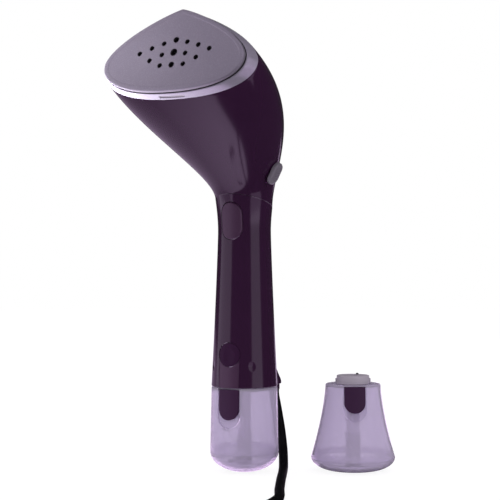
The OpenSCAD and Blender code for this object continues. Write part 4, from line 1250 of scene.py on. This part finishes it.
    def collar(self) -> None:
        """Makes the collar that turns into the steamer's socket."""
        low, high, bore = self.collar_z, self.collar_z + self.collar_h, self.bore_r
        profile = [
            (bore, low - 4), (9.3, low - 4), (9.5, low - 3.8), (9.5, low), (12.55, low), (12.75, low + 0.2),
            (12.75, high - 0.5), (12.6, high - 0.15), (12.25, high), (4.0, high), (3.6, high - 0.15),
            (bore, high - 0.4),
        ]
        bm = merge(spin(profile, 96), block(self.bayonet, (0, 0, low + 2.7), 0.4))
        piece = self.shop.make(f"{self.label}_collar", bm, "collar_grey")
        self.shop.combine(piece, rod(bore - 0.01, 12, (0, 0, low - 5), segments=96))
        self.shop.combine(piece, rod(1.05, 14, (*self.vent_place, low - 5), segments=32))
        piece.data.transform(Matrix.Translation((0, 0, self.collar_lift)))
        self.finish(piece, "collar_grey", "collar", angle=35)

    def door(self) -> None:
        """Makes the filling door, which follows the tank's side."""
        frame = self.door_frame()
        slope = frame.to_3x3()[1][1]

        def reach(radius: float, z: float) -> float:
            """Returns how far a part above the pin may reach so that it stays within a radius as it swings."""
            return math.sqrt(max(radius**2 - max(z, 0.0) ** 2, 0.0))

        def face(x: float, z: float) -> float:
            """Finds the tank's skin in the door's frame.

            Args:
                x: Place across the door.
                z: Place along the door.

            Returns:
                Its Y there.
            """
            y = 0.0
            for _ in range(8):
                at = frame @ Vector((x, y, z))
                target = -math.sqrt(max((self.radius(at.z) - 0.12) ** 2 - x * x, 1))
                y += (target - at.y) / slope
            return y

        def front(drop: float) -> Depth:
            """Returns the rule of a layer under the face, with its top rolled inwards."""
            return lambda x, z: max(face(x, z) + drop, -reach(self.front_sweep, z)) if z > 0 else face(x, z) + drop

        def back(depth: float) -> Depth:
            """Returns the rule of the back, rolled forwards above the pin."""
            return lambda x, z: min(depth, reach(self.back_sweep, z))

        half = self.door_w / 2
        layers = [(0.25 + (half - 0.4) * k / 8, back(self.door_back)) for k in range(8, -1, -1)]
        layers.append((0.0, back(self.door_back - 0.25)))
        layers += [(inset, front(drop)) for inset, drop in rounding(0.6)]
        layers += [(0.6 + (half - 0.7) * k / 10, front(0)) for k in range(1, 11)]
        bm = loft([self.door_ring(self.door_w, self.door_len, self.door_rise, *layer) for layer in layers])
        piece = self.shop.make(f"{self.label}_lid", moved(bm, frame), "aubergine_lid")
        self.shop.finish_piece(piece, self.door_body, "trigger_plastic", self.door_node, angle=40, move=self.place)

    def build(self) -> None:
        """Makes every piece of the tank."""
        self.shell()
        self.foot()
        self.collar()
        self.door()


@dataclass
class MainsCord:
    """The free cord with its coil, and the plug on its end."""

    shop: Workshop
    radius: float = 3.6
    lay_z: float = -147.0
    coil_place: Point2 = (49.0, -280.5)
    coil_mid_r: float = 40.0
    pitch: float = 7.4
    wide: int = 4
    turn_steps: int = 20
    last_steps: int = 6
    plug_at: Point = (0.0, -319.5, -140.6)
    plug_len: float = 37.0
    pin_reach: float = 9.5
    body: str = "steamer"

    def route(self) -> list[Vector]:
        """Lays the cord from the gland down to the floor and along it to the coil.

        Returns:
            Its points.
        """
        hanging = [
            (11.7, 27.6, -88.2), (11.7, 27.6, -93), (13.6, 28.3, -104), (17.5, 26.9, -120), (22.4, 21.6, -134.5),
            (30.2, 8.2, -144),
        ]
        lying = [
            (38, -7), (56, -43), (74, -78), (92, -113), (99, -150), (100.4, -200), (100.3, -245), (100.1, -279),
        ]
        return [Vector(point) for point in hanging] + [Vector((*point, self.lay_z)) for point in lying]

    def coil(self) -> list[Vector]:
        """Winds the coil inwards on the floor, then outwards on top.

        Returns:
            Its points.
        """
        widest = self.coil_mid_r + self.pitch * (self.wide - 1) / 2
        radii = [widest - self.pitch * k for k in range(self.wide)]
        turns = [(r, self.lay_z) for r in radii] + [(r, self.lay_z + self.pitch) for r in radii[::-1]]
        points = []
        for k, (r, z) in enumerate(turns):
            last = k == len(turns) - 1
            next_r, next_z = turns[k if last else k + 1]
            for j in range(1, (self.last_steps if last else self.turn_steps) + 1):
                ease = smoothstep(min(max((j / self.turn_steps - 0.72) / 0.24, 0.0), 1.0))
                radius, angle = r + (next_r - r) * ease, -2 * math.pi * j / self.turn_steps
                x, y = self.coil_place[0] + radius * math.cos(angle), self.coil_place[1] + radius * math.sin(angle)
                points.append(Vector((x, y, z + (next_z - z) * ease)))
        return points

    def lead(self) -> list[Vector]:
        """Returns the points from the coil to the plug."""
        return [Vector((16, -323.4, -140.2)), Vector((6, -320.6, -140.5)), Vector(self.plug_at)]

    @staticmethod
    def _between(points: Sequence[Vector], steps: int) -> list[Vector]:
        """Fills a row of points with a smooth curve through them.

        Args:
            points: The points.
            steps: Steps from each point to the next.

        Returns:
            The points of the curve.
        """
        out = []
        for i in range(len(points) - 1):
            a, b, c, d = points[max(i - 1, 0)], points[i], points[i + 1], points[min(i + 2, len(points) - 1)]
            for t in (s / steps for s in range(steps)):
                square = (2 * a - 5 * b + 4 * c - d) * t * t
                out.append(0.5 * (2 * b + (c - a) * t + square + (3 * b - a - 3 * c + d) * t**3))
        return out + [points[-1]]

    def cable(self) -> None:
        path = self._between(self.route(), 3) + self.coil() + self._between(self.lead(), 2)
        curve = bpy.data.curves.new("mains_lead", "CURVE")
        curve.dimensions = "3D"
        curve.bevel_depth = self.radius * MM
        curve.bevel_resolution = 5
        curve.resolution_u = 4
        curve.use_fill_caps = True
        spline = curve.splines.new("BEZIER")
        spline.bezier_points.add(len(path) - 1)
        for knot, point in zip(spline.bezier_points, path):
            knot.co = point * MM
            knot.handle_left_type = knot.handle_right_type = "AUTO"
        obj = bpy.data.objects.new("mains_lead", curve)
        bpy.context.scene.collection.objects.link(obj)
        curve.materials.append(self.shop.finishes["cord_black"])
        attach(obj, self.body)
        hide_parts("mains_cord", "cord_coil", "plug_lead")

    def plug(self) -> Piece:
        """Makes the moulded plug with its ribbed bend relief.

        Returns:
            The plug.
        """
        x0, y0, z0 = self.plug_at
        face = x0 - self.plug_len
        layers = [(0.02, 32.6, 17.6), (0, 33.8, 18.8), (0.3, 34.6, 19.6), (1.2, 35, 20), (12, 34.6, 19.8)]
        layers += [(20, 33.2, 19.2), (26, 29.5, 17.6), (29.5, 23, 15), (31, 16, 12)]
        for rib in range(4):
            for step, width in ((0.2, 10.9), (0.85, 10.9), (0.95, 9.3), (1.35, 9.3)):
                layers.append((31 + 1.4 * rib + step, width, width - 0.02))
        layers.append((self.plug_len - 0.1, 8.2, 8.18))
        rings = [
            [Vector((face + x, y0 + along, z0 + across)) for across, along in slot_outline(height, width, count=64)]
            for x, width, height in layers
        ]
        piece = self.shop.make("moulded_plug", loft(rings), "cord_black")
        for side in (-1, 1):
            self.shop.combine(piece, rod(1.9, 13, (face - 1, y0 + side * self.pin_reach, z0), RIGHTWARDS))
        return self.shop.finish_piece(piece, self.body, "cord_black", "mains_plug", angle=40)

    def build(self) -> None:
        """Makes the plug and the cord."""
        plug = self.plug()
        self.cable()


# ---------------------------------------------------------------- inner parts and studio


INNER_FINISHES = {
    "cast_aluminium": "boiler",
    "steel_sheet": "boiler_cover heat_shield pump_yoke",
    "heater_steel": "heating_element",
    "ceramic_white": "thermostat terminal_block",
    "fuse_brass": "thermal_fuse",
    "steel_bright": "boiler_screws handle_screws trigger_pin trigger_spring release_spring tank_latch "
    "door_pin spare_door_pin",
    "switch_black": "slider_switch trigger_switch",
    "socket_plastic": "trigger_bracket tank_socket",
    "pump_plastic": "pump_body",
    "coil_copper": "pump_coil",
    "rubber_black": "pump_mounts socket_seal door_seal spare_door_seal",
    "hose_silicone": "suction_hose delivery_hose",
    "board_green": "control_board",
    "wire_red": "wiring_harness",
    "pin_nickel": "plug_pins",
    "pickup_grey": "pickup_tube spare_pickup_tube",
    "filter_grey": "pickup_filter spare_pickup_filter",
    "vent_black": "vent_pin spare_vent_pin",
}


def dress_nodes(frame: dict, finishes: Finishes) -> None:
    """Gives each solid its finish, hidden ones too.

    Args:
        finishes: The materials.
    """
    chosen = {node: finish for finish, nodes in INNER_FINISHES.items() for node in nodes.split()}
    for name, obj in frame["nodes"].items():
        finish = finishes[chosen.get(name, "aubergine_gloss")]
        if not obj.material_slots:
            obj.data.materials.append(finish)
        for slot in obj.material_slots:
            slot.material = finish
        LOG.info("%s: %s", name, finish.name)


@dataclass
class Studio:
    """Camera, lights, floor and backdrop."""

    azimuth: float = math.radians(30)
    distance: float = 1.092
    aim_right: float = 0.0043
    aim_z: float = 0.0216
    lens: float = 100.8
    floor_z: float = -0.1506
    low_top: float = 0.066
    lamp_colour: Point = (0.92, 0.8, 1.0)
    # cos and sin of the turn of the wedge of painted reflection on the floor
    painted_reflection_wedge_turn: Point2 = (0.974, 0.225)

    def camera(self) -> None:
        """Sets the camera at the front right, level with the grip."""
        data = bpy.data.cameras.new("camera")
        data.lens = self.lens
        data.sensor_width = 36
        data.clip_start, data.clip_end = 0.01, 100
        camera = bpy.data.objects.new("camera", data)
        sin, cos = math.sin(self.azimuth), math.cos(self.azimuth)
        x, y = sin * self.distance + cos * self.aim_right, -cos * self.distance + sin * self.aim_right
        camera.location = (x, y, self.aim_z)
        camera.rotation_euler = (QUARTER, 0, self.azimuth)
        bpy.context.scene.collection.objects.link(camera)
        bpy.context.scene.camera = camera

    @staticmethod
    def hang(data: bpy.types.Light, at: Point, aim: Point, mirrored: bool) -> Piece:
        """Hangs a lamp and turns it to its aim.

        Args:
            data: The light.
            at: Its place in metres.
            aim: The place that it faces.
            mirrored: Whether glossy pieces mirror it.

        Returns:
            The lamp.
        """
        lamp = bpy.data.objects.new(data.name, data)
        lamp.visible_glossy = mirrored
        lamp.location = at
        lamp.rotation_euler = (Vector(aim) - Vector(at)).to_track_quat("-Z", "Y").to_euler()
        bpy.context.scene.collection.objects.link(lamp)
        return lamp

    def lamp(
        self, name: str, turn: float, height: float, distance: float, size: Point2, power: float,
        mirrored: bool = True,
    ) -> None:
        """Hangs a soft box round the object.

        Args:
            name: Name of the lamp.
            turn: Its bearing in degrees, 0 in front and 90 to the right.
            height: Its height in metres.
            distance: Its distance from the axis in metres.
            size: Width and height of its face in metres.
            power: Its power in watts.
            mirrored: Whether glossy pieces mirror it.
        """
        data = bpy.data.lights.new(name, "AREA")
        data.shape = "RECTANGLE"
        data.color = self.lamp_colour
        data.size, data.size_y = size
        data.energy = power
        angle = math.radians(turn)
        self.hang(data, (distance * math.sin(angle), -distance * math.cos(angle), height), (0, 0, 0.02), mirrored)

    def spot(
        self, name: str, lit: bpy.types.Collection, at: Point, aim: Point, cone: float, power: float,
    ) -> None:
        """Points a small lamp at a few pieces, and leaves the rest as they are.

        Args:
            name: Name of the lamp.
            lit: The pieces that it lights.
            at: Place of the lamp in metres.
            aim: Place that it faces.
            cone: Full angle of its cone in degrees.
            power: Its power in watts.
        """
        data = bpy.data.lights.new(name, "SPOT")
        data.energy = power
        data.spot_size = math.radians(cone)
        data.spot_blend = 0.6
        data.shadow_soft_size = 0.06
        self.hang(data, at, aim, mirrored=False).light_linking.receiver_collection = lit

    @staticmethod
    def _on_rays(board: Board, kinds: Sequence[str], base: Socket, shown: Socket) -> Socket:
        """Shows a shader on some kinds of ray only.

        Args:
            board: The board of the tree.
            kinds: The kinds of ray.
            base: The shader on all other rays.
            shown: The shader on these.

        Returns:
            The mixed shader.
        """
        path = board.add("LightPath", {}).outputs
        value = path[kinds[0]]
        for kind in kinds[1:]:
            value = board.maths("MAXIMUM", value, path[kind])
        return board.add("MixShader", {0: value, 1: base, 2: shown}).outputs[0]

    def world(self) -> None:
        """Lights the room softly and keeps it white behind the object."""
        world = bpy.data.worlds.new("studio")
        bpy.context.scene.world = world
        world.use_nodes = True
        board = Board(world.node_tree)
        room = board.nodes["Background"]
        board.feed(room, {"Color": (1, 1, 1, 1), "Strength": 0.7})
        mirror = board.add("Background", {"Color": (1, 0.99, 1, 1), "Strength": 0.03})
        white = board.add("Background", {"Color": (1, 1, 1, 1), "Strength": 1.0})
        seen = self._on_rays(board, ["Is Glossy Ray"], room.outputs[0], mirror.outputs[0])
        seen = self._on_rays(board, ["Is Camera Ray", "Is Transmission Ray"], seen, white.outputs[0])
        board.feed(board.nodes["World Output"], {"Surface": seen})

    def _painted_reflection_strength(self, board: Board) -> Socket:
        """Works out how bright the floor's painted reflection is: a glow that only glossy rays see, lit on the left,
        and in a wedge on the right.

        Args:
            board: The board of the floor's material.

        Returns:
            The brightness.
        """
        maths, ramp = board.maths, board.ramp
        split = board.add("SeparateXYZ", {0: board.add("TexCoord", {}).outputs["Object"]}).outputs
        x, y = split["X"], split["Y"]
        past = maths("SUBTRACT", maths("MULTIPLY_ADD", maths("MINIMUM", y, 0.02), -0.37, x), 0.038)
        left = maths("MULTIPLY", ramp(past, -0.24, -0.05, 0.5, 1.25), ramp(past, -0.004, 0.004, 1.0, 0.0))
        cos, sin = self.painted_reflection_wedge_turn
        away = maths("ADD", maths("MULTIPLY", x, cos), maths("MULTIPLY", y, -sin))
        aside = maths("ABSOLUTE", maths("ADD", maths("MULTIPLY", x, sin), maths("MULTIPLY", y, cos)))
        flank = maths("SUBTRACT", maths("MULTIPLY", away, 0.42), aside)
        inside = maths("MINIMUM", flank, maths("SUBTRACT", away, 0.25))
        return maths("ADD", maths("MAXIMUM", left, ramp(inside, -0.003, 0.003, 0.0, 0.75)), 0.04)

    def floor(self) -> None:
        """Lays the pale floor, with a tinted glow on glossy rays that is a painted reflection."""
        bm = bmesh.new()
        bmesh.ops.create_circle(bm, cap_ends=True, segments=96, radius=3.0)
        bmesh.ops.translate(bm, vec=(0, 0, self.floor_z - 0.0002), verts=bm.verts)
        material = bpy.data.materials.new("pale_floor")
        material.use_nodes = True
        board = Board(material.node_tree)
        board.nodes.remove(board.nodes["Principled BSDF"])
        paint = board.add("BsdfDiffuse", {"Color": (0.8, 0.8, 0.8, 1)}).outputs[0]
        # painted reflection: a tinted glow that only glossy rays see, so the glossy pieces mirror light that no lamp
        # gives
        painted_reflection = board.add("Emission", {"Color": (0.9, 0.68, 1.0, 1), "Strength": self._painted_reflection_strength(board)}).outputs[0]
        faint = board.add("BsdfDiffuse", {"Color": (0.16, 0.16, 0.16, 1)}).outputs[0]
        glow = board.add("Emission", {"Strength": 0.9}).outputs[0]
        seen = board.add("AddShader", {0: faint, 1: glow}).outputs[0]
        surface = self._on_rays(board, ["Is Glossy Ray"], paint, painted_reflection)
        surface = self._on_rays(board, ["Is Camera Ray", "Is Transmission Ray"], surface, seen)
        board.feed(board.nodes["Material Output"], {"Surface": surface})
        Workshop.blank("studio_floor", bm, material)

    def mute_low_pieces(self, shown: Sequence[str]) -> None:
        """Keeps the low pieces out of the reflections.

        Args:
            shown: Names of the low pieces that stay in them.
        """
        for obj in bpy.data.objects:
            if obj.type == "MESH" and obj.name not in shown:
                top = max((obj.matrix_world @ Vector(corner)).z for corner in obj.bound_box)
                obj.visible_glossy = top >= self.low_top

    def build(self) -> None:
        """Sets up the whole studio."""
        bpy.context.scene.view_settings.view_transform = "Standard"
        self.camera()
        self.world()
        self.floor()
        self.lamp("wide_left", -56, 0.15, 1.3, (1.6, 1.5), 6)
        self.lamp("strip_right", 77, 0.1, 1.3, (0.95, 1.5), 3.4)
        self.lamp("top_front", 10, 1.5, 1.0, (1.2, 0.8), 5)
        self.lamp("rear_fill", 190, 0.6, 1.4, (1.2, 1.2), 7, mirrored=False)
        face = bpy.data.collections.new("face_pieces")
        for name in ("sole_plate", "pearl_ring"):
            face.objects.link(bpy.data.objects[name])
        self.spot("plate_spot", face, (-0.19, -0.21, 0.265), (-0.05, -0.09, 0.165), 40, 2.2)
        self.spot("bezel_spot", face, (-0.16, -0.09, 0.075), (-0.06, -0.085, 0.135), 50, 13)
        self.mute_low_pieces(["studio_floor", "steam_button", "release_dish"])


def tanks(shop: Workshop) -> list[WaterTank]:
    """Describes the tank in the steamer and the spare one beside it.

    Args:
        shop: The workshop.

    Returns:
        Both tanks.
    """
    beside = Matrix.Translation((71, 47, 0)) @ Matrix.Rotation(math.radians(30), 4, "Z")
    seated = WaterTank(
        shop, "tank_on_grip", "tank", "tank_door", "tank_", "fill_door", top_r=25.6, max_r=26.7, flare=1.0,
        foot_h=16.0, foot_r=3.0, lean=math.radians(1.5), door_len=22.0, door_w=17.6, top=-84.3, collar_lift=0.0,
        place=Matrix.Identity(4),
    )
    spare = WaterTank(
        shop, "tank_beside", "spare_tank", "spare_tank_door", "spare_", "spare_door", top_r=21.5, max_r=32.8,
        flare=1.5, foot_h=10.5, foot_r=13.0, lean=math.radians(8), door_len=19.0, door_w=16.4, top=-82.9,
        collar_lift=1.4, place=beside,
    )
    return [seated, spare]


def main() -> None:
    """Builds the steamer's looks in order."""
    logging.basicConfig(level=logging.INFO, format="%(message)s")
    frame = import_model()
    finishes = Finishes()
    dress_nodes(frame, finishes)
    shop = Workshop(frame, finishes)
    grip = Handle(shop)
    for assembly in (MainsCord(shop), SteamHead(shop, grip), grip, *tanks(shop)):
        assembly.build()
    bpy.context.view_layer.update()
    Studio().build()


if __name__ == "__main__":
    main()
